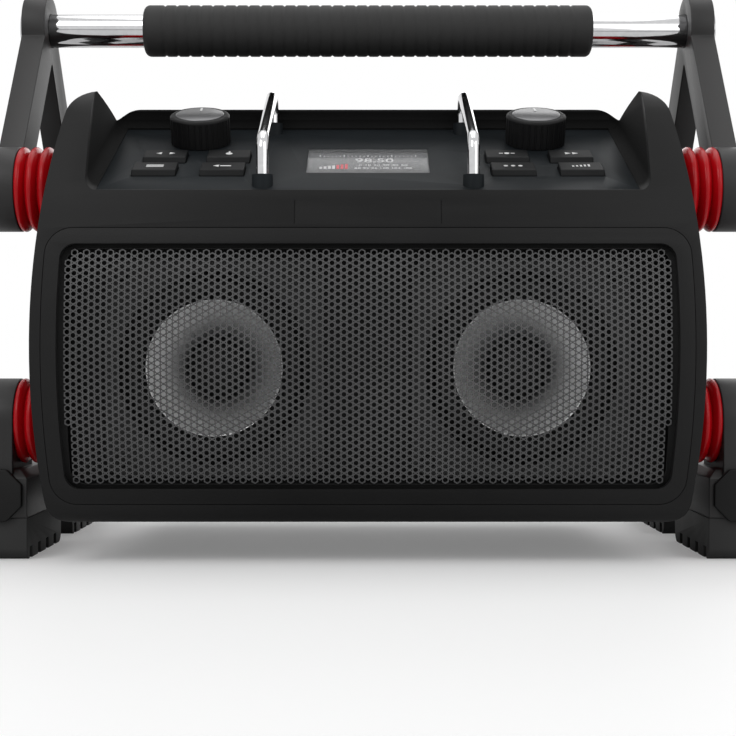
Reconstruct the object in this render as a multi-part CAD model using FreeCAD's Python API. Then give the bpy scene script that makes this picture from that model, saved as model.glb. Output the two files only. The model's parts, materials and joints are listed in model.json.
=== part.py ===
import FreeCAD, Part
import math
import os

# Jobsite radio. Millimetres, X to the right, Y to the back, Z up.
# The origin is the centre of the footprint, on the floor.

os.makedirs("parts", exist_ok=True)
Vec = FreeCAD.Vector
BOTH_SIDES = (-1, 1)
SIDE_NAMES = {-1: "left", 1: "right"}

# Lengths that many cuts share
OVERRUN = 5.0
BEYOND = 400.0
SMALL_GAP = 0.4
PARALLEL = 1e-6

# Loudspeakers
CONE_R = 41.0
ROLL_WIDTH = 12.0
ROLL_T = 0.7
SURROUND_LIP = 4.0
SURROUND_OUTER_R = CONE_R + ROLL_WIDTH + SURROUND_LIP
BASKET_R = SURROUND_OUTER_R - 5.0
FLANGE_HALF = SURROUND_OUTER_R + 7.0
FLANGE_T = 3.0
FLANGE_CORNER_R = 12.0
DUST_CAP_R = 18.6
DUST_CAP_DOME_R = 29.8
CONE_DEPTH = 27.6
CONE_WALL = 0.8
CONE_RIM_PROUD = 2.0
COIL_R = 15.0
COIL_T = 0.6
COIL_LENGTH = 17.0
COIL_CLEARANCE = 0.6
BASKET_WALL = 2.0
BASKET_GAP = 0.5
BASKET_DEPTH = 44.0
BASKET_TAIL_R = 31.0
BASKET_WINDOWS = 4
BASKET_WINDOW_W = 30.0
WINDOW_FRONT_GAP = 3.0
WINDOW_BACK_GAP = 6.0
COIL_PASSAGE_R = COIL_R + 4.0
TOP_PLATE_T = 5.0
MAGNET_R = 38.0
MAGNET_T = 15.0
MAGNET_WALL_GAP = 3.0
PLATE_INSET = 3.0
BACK_PLATE_T = 5.0
SPEAKER_SCREW_INSET = 9.0
SPEAKER_SCREW_R = 2.0
SPEAKER_SCREW_PASS_R = 2.2
SPEAKER_SCREW_HEAD_R = 4.0
SPEAKER_SCREW_HEAD_T = 2.2
SPEAKER_SCREW_EDGE_R = 1.2
SPEAKER_SCREW_LENGTH = 10.0
SPEAKER_GAP = 52.8
SPEAKER_X = SPEAKER_GAP / 2 + FLANGE_HALF

# Heights from the base up: the fascia, its opening and the lip above it
BASE_Z = 24.5
FASCIA_RISE = 10.9
BORDER_LOW = 9.3
BORDER_HIGH = 9.5
LEDGE_STEP = 2.2
BAFFLE_LAP = 1.5
BAFFLE_RIM = 5.0
FLANGE_ROOM_LOW = 5.0
FLANGE_ROOM_HIGH = 6.5
LIP_RISE = 22.3
DECK_RISE = 66.4
FASCIA_LOW = BASE_Z + FASCIA_RISE
OPENING_LOW = FASCIA_LOW + BORDER_LOW
BAFFLE_LOW = OPENING_LOW - LEDGE_STEP - BAFFLE_LAP
SPEAKER_Z = BAFFLE_LOW + BAFFLE_RIM + FLANGE_ROOM_LOW + FLANGE_HALF
BAFFLE_HIGH = SPEAKER_Z + FLANGE_HALF + FLANGE_ROOM_HIGH + BAFFLE_RIM
OPENING_HIGH = BAFFLE_HIGH - BAFFLE_LAP - LEDGE_STEP
FASCIA_HIGH = OPENING_HIGH + BORDER_HIGH
LIP_Z = FASCIA_HIGH + LIP_RISE
DECK_Z = LIP_Z + DECK_RISE

# Control panel, in its own frame: x across, s up the slope, h off the panel
PANEL_TILT = 25.0
PANEL_T = 3.0
PANEL_GAP = 0.25
PANEL_START = 1.0
KEY_WIDTH = 26.5
KEY_LENGTH = 19.0
KEY_PROUD = 3.0
KEY_GAP = 0.35
KEY_FLANGE = 1.6
KEY_FLANGE_T = 1.4
KEY_STEM = 8.0
KEY_STEM_END = 8.0
KEY_CORNER_R = 1.0
KEY_EDGE_R = 0.8
KEY_FRONT_ROOM = 25.0
ROW_GAP = 7.0
KNOB_R = 19.0
KNOB_HEIGHT = 18.0
KNOB_LIFT = 0.4
KNOB_EDGE_R = 2.0
KNOB_RIBS = 30
KNOB_RIB_R = 0.9
KNOB_RIB_OUT = 0.4
KNOB_BACK_ROOM = 11.0
LOWER_ROW_S = PANEL_START + KEY_FRONT_ROOM + KEY_LENGTH / 2
UPPER_ROW_S = LOWER_ROW_S + KEY_LENGTH + ROW_GAP
KNOB_S = UPPER_ROW_S + KEY_LENGTH / 2 + ROW_GAP + KNOB_R
PANEL_END = KNOB_S + KNOB_R + KNOB_BACK_ROOM
DISPLAY_HALF = 37.5
DISPLAY_START = PANEL_START + 32.0
DISPLAY_LENGTH = 50.0
DISPLAY_END = DISPLAY_START + DISPLAY_LENGTH
LENS_SINK = 0.3
LENS_LAP = 2.0
LENS_GAP = 0.2
DISPLAY_T = 5.0
DISPLAY_RIM = 4.0
DISPLAY_END_RIM = 3.0
DISPLAY_PIN_W = 4.0

# Guard bars, standing upright on bosses either side of the display
GUARD_R = 3.6
GUARD_RISE = 27.0
GUARD_BEND_R = 10.0
GUARD_SEAT = 2.0
GUARD_INSET = 8.0
BOSS_R = 6.2
BOSS_RISE = 6.0
DISPLAY_SIDE_ROOM = 18.3
GUARD_KEY_ROOM = 4.55
GUARD_X = DISPLAY_HALF + DISPLAY_SIDE_ROOM + BOSS_R
GUARD_FRONT_S = PANEL_START + GUARD_INSET
GUARD_BACK_S = PANEL_END - GUARD_INSET

# Widths from the display out: keys, panel, recess and housing
UPPER_KEY_GAP = 12.8
LOWER_KEY_GAP = 14.5
UPPER_KEY_INSET = 3.3
KNOB_INSET = 21.6
KEY_SEAT_ROOM = 8.15
SEAT_SHELF = 8.5
SEAT_FRONT_SHELF = 11.0
SEAT_BACK_SHELF = 9.0
SHOULDER_W = 29.0
RECESS_CORNER_R = 6.5
UPPER_INNER_X = GUARD_X + BOSS_R + GUARD_KEY_ROOM + KEY_WIDTH / 2
UPPER_OUTER_X = UPPER_INNER_X + KEY_WIDTH + UPPER_KEY_GAP
LOWER_OUTER_X = UPPER_OUTER_X + UPPER_KEY_INSET
LOWER_INNER_X = LOWER_OUTER_X - KEY_WIDTH - LOWER_KEY_GAP
LOWER_ROW = {"menu": -LOWER_OUTER_X, "back": -LOWER_INNER_X, "info": LOWER_INNER_X, "preset": LOWER_OUTER_X}
UPPER_ROW = {"source": -UPPER_OUTER_X, "power": -UPPER_INNER_X, "light": UPPER_INNER_X, "scan": UPPER_OUTER_X}
KNOB_X = LOWER_OUTER_X - KNOB_INSET
SEAT_HALF = LOWER_OUTER_X + KEY_WIDTH / 2 + KEY_SEAT_ROOM
SEAT_START = PANEL_START + SEAT_FRONT_SHELF
SEAT_END = PANEL_END - SEAT_BACK_SHELF
PANEL_HALF = SEAT_HALF + SEAT_SHELF
RECESS_HALF = PANEL_HALF + RECESS_CORNER_R
RECESS_LENGTH = PANEL_END + 3.0
RECESS_FORWARD = 60.0
RECESS_HEADROOM = 120.0
FRONT_HALF = RECESS_HALF + SHOULDER_W
TUB_WALL = 3.5
TUB_FLOOR_T = 6.0

# Board, switches and encoders under the panel
BOARD_DEPTH = 10.4
BOARD_T = 1.6
BOARD_GAP = 3.0
BOARD_HALF = SEAT_HALF - BOARD_GAP
BOARD_START = SEAT_START + BOARD_GAP
BOARD_END = SEAT_END - BOARD_GAP
POST_R = 3.5
POST_SIDE = 7.0
POST_FRONT = 4.0
POST_BACK = 7.0
POST_COLUMNS = (POST_SIDE - BOARD_HALF, 0.0, BOARD_HALF - POST_SIDE)
POST_ROWS = (BOARD_START + POST_FRONT, BOARD_END - POST_BACK)
SWITCH_HALF = 3.0
SWITCH_T = 1.1
SHAFT_R = 3.0
SHAFT_FIT = 0.05
SHAFT_END_GAP = 1.0
BUSH_R = 4.3
BUSH_HOLE_GAP = 0.3
ENCODER_HALF = 6.5

# Housing
FRONT_Y = -150.0
FRONT_DEPTH = 142.0
REAR_DEPTH = 126.0
SPLIT_Y = FRONT_Y + FRONT_DEPTH
BACK_Y = SPLIT_Y + REAR_DEPTH
FRONT_TAPER = 17.2
REAR_TAPER = 2.8
SPLIT_HALF = FRONT_HALF - FRONT_TAPER
BACK_HALF = SPLIT_HALF - REAR_TAPER
FRONT_BOW_R = 300.0
FRONT_BOW_Z = BASE_Z + 102.5
SIDE_BOW_R = 1000.0
SIDE_BOW_Z = BASE_Z + 104.5
LIP_Y = FRONT_Y + FRONT_BOW_R - math.sqrt(FRONT_BOW_R ** 2 - (LIP_Z - FRONT_BOW_Z) ** 2)
SHELL_WALL = 3.0
FRONT_WALL = 11.0
BASE_CORNER_R = 13.0
DECK_CORNER_R = 20.0
FRONT_TOP_R = 34.0
FRONT_LOW_R = 9.0
BACK_CORNER_R = 14.0
GASKET_T = 1.6
GASKET_INSET = 0.8
SCREW_R = 2.0
SCREW_PASS_R = 2.2
SCREW_HEAD_R = 3.6
SCREW_HEAD_T = 3.0
SCREW_SOCKET_R = 1.4
SCREW_SOCKET_DEPTH = 2.0
SCREW_BOSS_R = 6.0
SCREW_SLEEVE_R = 7.0
SCREW_BITE = 30.0
SCREW_SEAT_Y = SPLIT_Y + 20.0
SCREW_WELL_R = 4.4
SCREW_X = SPLIT_HALF - 18.8
SCREW_HEIGHTS = (BASE_Z + 17.5, BASE_Z + 107.5, DECK_Z - 39.0)
SCREW_WEB_T = 3.0

# Fascia, grille and baffle
FASCIA_MARGIN = 6.2
BORDER_SIDE = 9.0
FASCIA_HALF = FRONT_HALF - FASCIA_MARGIN
FASCIA_CORNER_R = 16.0
FASCIA_DEPTH = 8.0
SEAM = 0.35
OPENING_HALF = FASCIA_HALF - BORDER_SIDE
OPENING_CORNER_R = 9.0
GRILLE_RECESS = 4.6
GRILLE_T = 1.0
GRILLE_LAP = 4.0
BADGE_HALF = 42.5
BADGE_HEIGHT = 14.0
BADGE_Z = FASCIA_HIGH + 9.1
BADGE_LINE = 0.6
BAFFLE_Y = FRONT_Y + 28.0
BAFFLE_T = 9.0
BAFFLE_HALF = OPENING_HALF + LEDGE_STEP + BAFFLE_LAP

# Absorbers, hubs and side frames
PAD_INSET = 6.0
PAD_FACE_X = FRONT_HALF - PAD_INSET
PAD_R = 22.0
PAD_DEPTH = 19.0
HUB_R = 26.0
FRONT_HUB_Y = FRONT_Y + 66.0
REAR_HUB_Y = BACK_Y - 23.0
LOW_HUB_Z = BASE_Z + 58.1
HIGH_HUB_Z = LIP_Z + 6.4
HUB_ROWS = {"front": FRONT_HUB_Y, "rear": REAR_HUB_Y}
HUB_HEIGHTS = (LOW_HUB_Z, HIGH_HUB_Z)
ABSORBER_LENGTH = 25.0
RIB_R = 26.0
RIB_T = 5.4
RIB_ROOT_R = 20.5
RIB_EDGE_R = 2.5
RIB_COUNT = 3
FRAME_INNER_X = PAD_FACE_X + ABSORBER_LENGTH
FRAME_T = 15.5
LIMB_HALF = 15.0
HANDLE_LIMB_HALF = 13.0
BEAM_LOW = 27.0
BEAM_HIGH = 53.0
BOLT_R = 4.0
BOLT_CLEARANCE = 0.3
BOLT_HEAD_R = 8.0
BOLT_HEAD_T = 5.0
BOLT_SOCKET_R = 3.2
BOLT_SOCKET_DEPTH = 3.5
BOLT_SINK = 4.0
BOLT_BITE = 16.0

# Feet
BOOT_INWARD = 8.7
BOOT_OUTWARD = 11.8
BOOT_INNER_X = FRAME_INNER_X - BOOT_INWARD
BOOT_OUTER_X = FRAME_INNER_X + FRAME_T + BOOT_OUTWARD
BOOT_HEIGHT = 25.0
BOOT_WALL = 2.0
BOOT_FLOOR = 10.0
BOOT_EDGE_R = 7.0
FRONT_FOOT = (FRONT_HUB_Y - HUB_R, FRONT_HUB_Y + 72.0)
REAR_FOOT = (REAR_HUB_Y - 71.0, REAR_HUB_Y + 55.0)
BLOCK_HIGH = BEAM_HIGH + 1.0
BLOCK_CHAMFER = 5.0
TREAD_PITCH = 22.5
TREAD_START = 11.0
TREAD_WIDTH = 7.0
TREAD_HEIGHT = 7.0
TREAD_DEPTH = 9.0
CAP_X = (BOOT_INNER_X + BOOT_OUTER_X) / 2
CAP_FLATS = 31.0
CAP_Z = BOOT_HEIGHT + 13.8
CAP_T = 4.0

# Handle
HANDLE_Y = 0.0
HANDLE_Z = DECK_Z + 57.0
HANDLE_HUB_R = 23.0
HANDLE_R = 11.0
HANDLE_BORE_R = 9.0
GRIP_R = 17.0
GRIP_HALF = 150.0
GRIP_EDGE_R = 4.0
HANDLE_CAP_R = 13.5
HANDLE_CAP_T = 3.0
HANDLE_PLUG = 8.0

# Battery compartment and its door
CELL_R = 16.6
CELL_LENGTH = 61.2
CELL_BUTTON = 2.0
CELL_BUTTON_R = 5.0
CELL_ROWS = 3
CELL_SPACING = 0.8
CELL_PITCH = 2 * CELL_R + CELL_SPACING
CELL_FIRST_Z = BASE_Z + 37.5
CELL_GAP = 1.4
CELL_REST = 0.3
CELL_BACK_ROOM = 1.0
BATTERY_WALL = 2.5
SPRING_ROOM = 7.4
SPRING_BASE_R = 8.3
SPRING_TIP_R = 5.0
BATTERY_HALF = CELL_LENGTH + SMALL_GAP + SPRING_ROOM
RIM_LAP = 8.0
RIM_GAP = 1.0
CONTACT_T = 0.6
CONTACT_HALF_Y = 11.6
CONTACT_HALF_Z = 12.0
DOOR_MARGIN = 7.0
DOOR_HALF = BATTERY_HALF + DOOR_MARGIN
DOOR_LOW = CELL_FIRST_Z - CELL_R - DOOR_MARGIN - SMALL_GAP
DOOR_HIGH = CELL_FIRST_Z + (CELL_ROWS - 1) * CELL_PITCH + CELL_R + DOOR_MARGIN + SMALL_GAP
HINGE_OFFSET = 4.0
HINGE_R = 3.6
HINGE_LIFT = 0.4
HINGE_PIN_R = 1.5
HINGE_FIT = 0.05
HINGE_WEB = 4.0
HINGE_WEB_DEPTH = 2.9
KNUCKLE_ROOT = 6.0
KNUCKLE_SPAN = 22.0
KNUCKLE_GAP = 0.4
PULL_HALF = 14.0
PULL_RISE = 3.0
PULL_W = 6.0
PULL_INSET = 8.0

# Sockets, their cover and the mains inlet
SOCKET_X = BACK_HALF - 49.0
SOCKET_LOW = BASE_Z + 38.5
SOCKET_HEIGHT = 40.0
SOCKET_HIGH = SOCKET_LOW + SOCKET_HEIGHT
SOCKET_HALF = 21.0
SOCKET_DEPTH = 11.0
SOCKET_FLOOR = 1.0
SOCKET_LAP = 2.0
USB_HALF = 6.2
USB_HEIGHT = 5.0
USB_Z = SOCKET_HIGH - 11.0
JACK_R = 1.75
JACK_Z = SOCKET_LOW + 15.0
JACK_X = 10.0
COVER_SIDE = 4.0
COVER_HALF = SOCKET_HALF + COVER_SIDE
COVER_LOW = SOCKET_LOW - 5.0
COVER_AXIS_Z = SOCKET_HIGH + 7.0
COVER_T = 3.0
COVER_CORNER_R = 4.0
COVER_STANDOFF = 1.0
COVER_BARREL_R = 2.2
COVER_PIN_R = 1.0
EAR_T = 3.0
INLET_X = 44.0 - BACK_HALF
INLET_Z = BASE_Z + 53.5
INLET_HALF = 15.0
INLET_HEIGHT = 20.0
INLET_DEPTH = 22.0
INLET_SLOT_HALF = 8.0
INLET_SLOT_R = 4.2
INLET_SLOT_DEPTH = 17.0
INLET_PIN_R = 1.2
INLET_PIN_X = 4.3
INLET_PIN_LENGTH = 9.0

# Amplifier and transformer
AMP_HALF = 62.0
AMP_LOW = DOOR_HIGH + 18.0
AMP_HEIGHT = 76.0
AMP_HIGH = AMP_LOW + AMP_HEIGHT
AMP_Y = BACK_Y - 20.0
AMP_POST_R = 3.5
AMP_POST_INSET = 8.0
SINK_HALF = 40.0
SINK_HALF_Z = 24.0
SINK_DEPTH = 16.0
SINK_BASE_T = 3.0
SINK_FINS = 9
SINK_FIN_T = 1.6
CORE_X = BACK_HALF - 53.0
CORE_Y = BACK_Y - 58.0
CORE_HALF = 26.0
CORE_HEIGHT = 44.0
CORE_STACK = 30.0
CORE_LEG = 8.0
WINDING_HALF = 15.0
WINDING_PROUD = 8.0
CORE_FOOT_T = 2.0

# Antenna
ANTENNA_X = BACK_HALF - 34.0
ANTENNA_Z = DECK_Z - 23.0
ANTENNA_BASE_R = 9.0
ANTENNA_BASE_T = 8.0
ANTENNA_KNUCKLE_R = 8.0
ANTENNA_KNUCKLE_T = 10.0
ANTENNA_GAP = 0.3
ANTENNA_R = 4.5
ANTENNA_TIP_R = 3.4
ANTENNA_LENGTH = 215.0
ANTENNA_PIN_R = 3.0
ANTENNA_FIT = 0.05


def box(x0, x1, y0, y1, z0, z1):
    return Part.makeBox(x1 - x0, y1 - y0, z1 - z0, Vec(x0, y0, z0))


def rod(radius, start, end):
    """Round bar between two points."""
    along = end - start
    return Part.makeCylinder(radius, along.Length, start, along)


def rod_y(radius, x, z, y0, y1):
    return rod(radius, Vec(x, y0, z), Vec(x, y1, z))


def fuse(solids):
    whole = solids[0]
    for solid in solids[1:]:
        whole = whole.fuse(solid)
    return whole.removeSplitter()


def save(name, shape):
    """Write one sub-part; a list becomes a group of separate solids."""
    if isinstance(shape, list):
        shape = Part.makeCompound(shape)
    shape.exportStep("parts/" + name + ".step")


def edges_along(shape, direction, test):
    """Straight edges parallel to a direction whose middle passes the test."""
    found = []
    for edge in shape.Edges:
        span = edge.Vertexes[-1].Point - edge.Vertexes[0].Point
        parallel = span.Length > 0 and span.normalize().cross(direction).Length < PARALLEL
        if parallel and test(edge.CenterOfMass):
            found.append(edge)
    return found


def half_width(y):
    """Half width of the housing at its widest height, tapering to the back."""
    if y <= SPLIT_Y:
        share = (y - FRONT_Y) / (SPLIT_Y - FRONT_Y)
        return FRONT_HALF + (SPLIT_HALF - FRONT_HALF) * share
    share = (y - SPLIT_Y) / (BACK_Y - SPLIT_Y)
    return SPLIT_HALF + (BACK_HALF - SPLIT_HALF) * share


def bow_corner(centre_u, centre_z, bow_r, level, corner_r):
    """Corner between a bow that bulges towards -u and a level line.

    Returns its point on the bow, its middle and its point on the level line."""
    inward = 1 if level < centre_z else -1
    corner_z = level + inward * corner_r
    corner_u = centre_u - math.sqrt((bow_r - corner_r) ** 2 - (corner_z - centre_z) ** 2)
    out_u, out_z = corner_u - centre_u, corner_z - centre_z
    reach = math.hypot(out_u, out_z)
    on_bow = (centre_u + out_u * bow_r / reach, centre_z + out_z * bow_r / reach)
    on_level = (corner_u, level)
    mid_u = on_bow[0] + on_level[0] - 2 * corner_u
    mid_z = on_bow[1] + on_level[1] - 2 * corner_z
    scale = corner_r / math.hypot(mid_u, mid_z)
    middle = (corner_u + mid_u * scale, corner_z + mid_z * scale)
    return on_bow, middle, on_level


def bowed_outline(half, low, high, low_r, high_r, y):
    """Closed wire at depth y: level top and base, bowed sides, round corners."""
    centre = SIDE_BOW_R - half
    lower = bow_corner(centre, SIDE_BOW_Z, SIDE_BOW_R, low, low_r)
    upper = bow_corner(centre, SIDE_BOW_Z, SIDE_BOW_R, high, high_r)

    def at(point, side):
        return Vec(side * point[0], y, point[1])

    def side_edges(side):
        return [
            Part.Arc(at(lower[2], side), at(lower[1], side), at(lower[0], side)).toShape(),
            Part.Arc(at(lower[0], side), at((-half, SIDE_BOW_Z), side), at(upper[0], side)).toShape(),
            Part.Arc(at(upper[0], side), at(upper[1], side), at(upper[2], side)).toShape(),
        ]

    top = Part.LineSegment(at(upper[2], 1), at(upper[2], -1)).toShape()
    base = Part.LineSegment(at(lower[2], 1), at(lower[2], -1)).toShape()
    return Part.Wire(Part.__sortEdges__(side_edges(1) + [top] + side_edges(-1) + [base]))


def bowed_prism(half, low, high, corner_r, y0, y1):
    face = Part.Face(bowed_outline(half, low, high, corner_r, corner_r, y0))
    return face.extrude(Vec(0, y1 - y0, 0))


def side_slab(inset, front_inset):
    """Housing profile seen from the side, inset and run across the full width."""
    centre_y = FRONT_Y + FRONT_BOW_R
    bow_r = FRONT_BOW_R - front_inset
    low, high, back = BASE_Z + inset, DECK_Z - inset, BACK_Y - inset
    back_r = BACK_CORNER_R - inset
    lower = bow_corner(centre_y, FRONT_BOW_Z, bow_r, low, FRONT_LOW_R - inset)
    upper = bow_corner(centre_y, FRONT_BOW_Z, bow_r, high, FRONT_TOP_R - inset)
    bend = back_r * (1 - math.sqrt(0.5))
    x = -FRONT_HALF - OVERRUN

    def at(y, z):
        return Vec(x, y, z)

    edges = [
        Part.Arc(at(*lower[2]), at(*lower[1]), at(*lower[0])).toShape(),
        Part.Arc(at(*lower[0]), at(centre_y - bow_r, FRONT_BOW_Z), at(*upper[0])).toShape(),
        Part.Arc(at(*upper[0]), at(*upper[1]), at(*upper[2])).toShape(),
        Part.LineSegment(at(*upper[2]), at(back - back_r, high)).toShape(),
        Part.Arc(at(back - back_r, high), at(back - bend, high - bend), at(back, high - back_r)).toShape(),
        Part.LineSegment(at(back, high - back_r), at(back, low + back_r)).toShape(),
        Part.Arc(at(back, low + back_r), at(back - bend, low + bend), at(back - back_r, low)).toShape(),
        Part.LineSegment(at(back - back_r, low), at(*lower[2])).toShape(),
    ]
    return Part.Face(Part.Wire(edges)).extrude(Vec(-2 * x, 0, 0))


def housing_block(inset, front_inset, y0, y1):
    """Housing between two depths, inset all round."""
    sections = []
    for y in (y0, y1):
        sections.append(
            bowed_outline(half_width(y) - inset, BASE_Z + inset, DECK_Z - inset,
                          BASE_CORNER_R - inset, DECK_CORNER_R - inset, y)
        )
    return side_slab(inset, front_inset).common(Part.makeLoft(sections, True, True))


def on_panel(shape):
    """Move a shape from the panel's own frame to its place in the housing."""
    moved = shape.copy()
    moved.Placement = FreeCAD.Placement(Vec(0, LIP_Y, LIP_Z), FreeCAD.Rotation(Vec(1, 0, 0), PANEL_TILT))
    return moved


def panel_point(x, s, h):
    tilt = math.radians(PANEL_TILT)
    y = LIP_Y + s * math.cos(tilt) - h * math.sin(tilt)
    z = LIP_Z + s * math.sin(tilt) + h * math.cos(tilt)
    return Vec(x, y, z)


def recess(wall, floor):
    """Space of the control recess, grown by a wall and a floor."""
    half, end, radius = RECESS_HALF + wall, RECESS_LENGTH + wall, RECESS_CORNER_R + wall
    block = box(-half, half, -RECESS_FORWARD, end, -floor, RECESS_HEADROOM)
    at_floor = SMALL_GAP - floor
    corners = edges_along(block, Vec(0, 1, 0), lambda point: point.z < at_floor)
    corners += edges_along(block, Vec(1, 0, 0), lambda point: point.z < at_floor and point.y > 0)
    corners += edges_along(block, Vec(0, 0, 1), lambda point: point.y > 0)
    return on_panel(block.makeFillet(radius, corners))


def screw_places():
    return [(side * SCREW_X, z) for side in BOTH_SIDES for z in SCREW_HEIGHTS]


def speaker_screw_places():
    pitch = FLANGE_HALF - SPEAKER_SCREW_INSET
    corners = [(dx, dz) for dx in (-pitch, pitch) for dz in (-pitch, pitch)]
    return [(side * SPEAKER_X + dx, SPEAKER_Z + dz) for side in BOTH_SIDES for dx, dz in corners]


def frame_outer_x():
    return FRAME_INNER_X + FRAME_T


def inner_back_y():
    """Inner face of the rear shell's back wall."""
    return BACK_Y - SHELL_WALL


def hub_pads(place):
    """Bosses in the housing sides that the absorbers bolt to, and their threaded holes."""
    y = HUB_ROWS[place]
    pads, holes = [], []
    for side in BOTH_SIDES:
        for z in HUB_HEIGHTS:
            face = Vec(side * PAD_FACE_X, y, z)
            pads.append(rod(PAD_R, Vec(side * (PAD_FACE_X - PAD_DEPTH), y, z), face))
            holes.append(rod(BOLT_R, Vec(side * (PAD_FACE_X - BOLT_BITE), y, z), face))
    return pads, holes


def badge_field():
    """Two thin bracket lines cut into the lip above the fascia."""
    lines = []
    half = BADGE_HEIGHT / 2
    for side in BOTH_SIDES:
        x = side * BADGE_HALF
        left, right = x - BADGE_LINE / 2, x + BADGE_LINE / 2
        lines.append(box(left, right, FRONT_Y, SPLIT_Y, BADGE_Z - half, BADGE_Z + half))
    return [line.cut(side_slab(0, BADGE_LINE)) for line in lines]


def opening_prism(grow):
    """Fascia opening run back to the baffle, grown by a margin on each side."""
    return bowed_prism(OPENING_HALF + grow, OPENING_LOW - grow, OPENING_HIGH + grow,
                       OPENING_CORNER_R + max(grow, 0), FRONT_Y - OVERRUN, BAFFLE_Y)


def fascia_prism(gap):
    return bowed_prism(FASCIA_HALF - gap, FASCIA_LOW + gap, FASCIA_HIGH - gap, FASCIA_CORNER_R - gap,
                       FRONT_Y - OVERRUN, BAFFLE_Y)


def front_shell():
    outer = housing_block(0, 0, FRONT_Y - OVERRUN, SPLIT_Y)
    inner = housing_block(SHELL_WALL, FRONT_WALL, FRONT_Y, SPLIT_Y + OVERRUN)
    inner = inner.cut(recess(TUB_WALL, TUB_FLOOR_T))
    shell = outer.cut(inner).cut(recess(0, 0))
    shell = shell.cut(fascia_prism(0).cut(side_slab(0, FASCIA_DEPTH)))
    step = LEDGE_STEP
    shell = shell.cut(bowed_prism(OPENING_HALF + step, OPENING_LOW - step, OPENING_HIGH + step,
                                  OPENING_CORNER_R, FRONT_Y - OVERRUN, BAFFLE_Y))
    shell = shell.cut(on_panel(box(-PANEL_HALF, PANEL_HALF, PANEL_START, PANEL_END, -PANEL_T, OVERRUN)))
    shell = shell.cut(on_panel(box(-SEAT_HALF, SEAT_HALF, SEAT_START, SEAT_END, -TUB_FLOOR_T - OVERRUN, 0)))
    for line in badge_field():
        shell = shell.cut(line)
    pads, holes = hub_pads("front")
    bosses = []
    boss_start = SPLIT_Y - SCREW_BITE - SCREW_BOSS_R
    half = SCREW_WEB_T / 2
    for x, z in screw_places():
        bosses.append(rod_y(SCREW_BOSS_R, x, z, boss_start, SPLIT_Y))
        outward = math.copysign(FRONT_HALF, x)
        web = box(min(x, outward), max(x, outward), boss_start, SPLIT_Y, z - half, z + half)
        bosses.append(web.common(outer))
        holes.append(rod_y(SCREW_R, x, z, SPLIT_Y - SCREW_BITE, SPLIT_Y))
    shell = fuse([shell] + pads + bosses)
    for hole in holes:
        shell = shell.cut(hole)
    return shell


def shell_gasket():
    start, end = SPLIT_Y, SPLIT_Y + GASKET_T
    bore = housing_block(SHELL_WALL, 0, start - OVERRUN, end + OVERRUN)
    return housing_block(GASKET_INSET, 0, start, end).cut(bore)


def inlet_body(front_y):
    half_h = INLET_HEIGHT / 2
    return box(INLET_X - INLET_HALF, INLET_X + INLET_HALF, front_y, BACK_Y, INLET_Z - half_h, INLET_Z + half_h)


def rear_shell():
    start = SPLIT_Y + GASKET_T
    wall_y = inner_back_y()
    bore = housing_block(SHELL_WALL, 0, start - OVERRUN, BACK_Y)
    shell = housing_block(0, 0, start, BACK_Y).cut(bore)
    pads, holes = hub_pads("rear")
    bosses = []
    for x, z in screw_places():
        bosses.append(rod_y(SCREW_SLEEVE_R, x, z, start, wall_y))
        holes.append(rod_y(SCREW_PASS_R, x, z, start, SCREW_SEAT_Y))
        holes.append(rod_y(SCREW_WELL_R, x, z, SCREW_SEAT_Y, BACK_Y))
    inset = AMP_POST_INSET
    for side in BOTH_SIDES:
        for z in (AMP_LOW + inset, AMP_HIGH - inset):
            bosses.append(rod_y(AMP_POST_R, side * (AMP_HALF - inset), z, AMP_Y + BOARD_T, wall_y))
    shell = fuse([shell] + pads + bosses)
    gap, through_y = SMALL_GAP, wall_y - OVERRUN
    holes.append(box(-DOOR_HALF - gap, DOOR_HALF + gap, through_y, BACK_Y, DOOR_LOW - gap, DOOR_HIGH + gap))
    left, right = SOCKET_X - SOCKET_HALF, SOCKET_X + SOCKET_HALF
    holes.append(box(left, right, through_y, BACK_Y, SOCKET_LOW, SOCKET_HIGH))
    holes.append(inlet_body(through_y))
    for hole in holes:
        shell = shell.cut(hole)
    return fuse([shell] + door_knuckles(False) + cover_ears())


def housing_screws():
    screws = []
    head_end = SCREW_SEAT_Y + SCREW_HEAD_T
    for x, z in screw_places():
        head = rod_y(SCREW_HEAD_R, x, z, SCREW_SEAT_Y, head_end)
        socket = rod_y(SCREW_SOCKET_R, x, z, head_end - SCREW_SOCKET_DEPTH, head_end)
        shank = rod_y(SCREW_R, x, z, SPLIT_Y - SCREW_BITE, SCREW_SEAT_Y)
        screws.append(head.cut(socket).fuse(shank).removeSplitter())
    return screws


def fascia_frame():
    frame = fascia_prism(SEAM).common(side_slab(0, 0)).cut(side_slab(0, FASCIA_DEPTH))
    frame = frame.cut(opening_prism(0))
    return frame.cut(opening_prism(GRILLE_LAP).common(side_slab(0, GRILLE_RECESS)))


def grille():
    """Bowed sheet with a rim that hooks behind the fascia."""
    lap = GRILLE_LAP - SEAM
    block = opening_prism(lap)
    rim_start = GRILLE_RECESS + GRILLE_T
    sheet = block.common(side_slab(0, GRILLE_RECESS)).cut(side_slab(0, rim_start))
    rim = block.cut(opening_prism(lap - GRILLE_T))
    rim = rim.common(side_slab(0, rim_start)).cut(side_slab(0, FASCIA_DEPTH))
    return fuse([sheet, rim])


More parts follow.
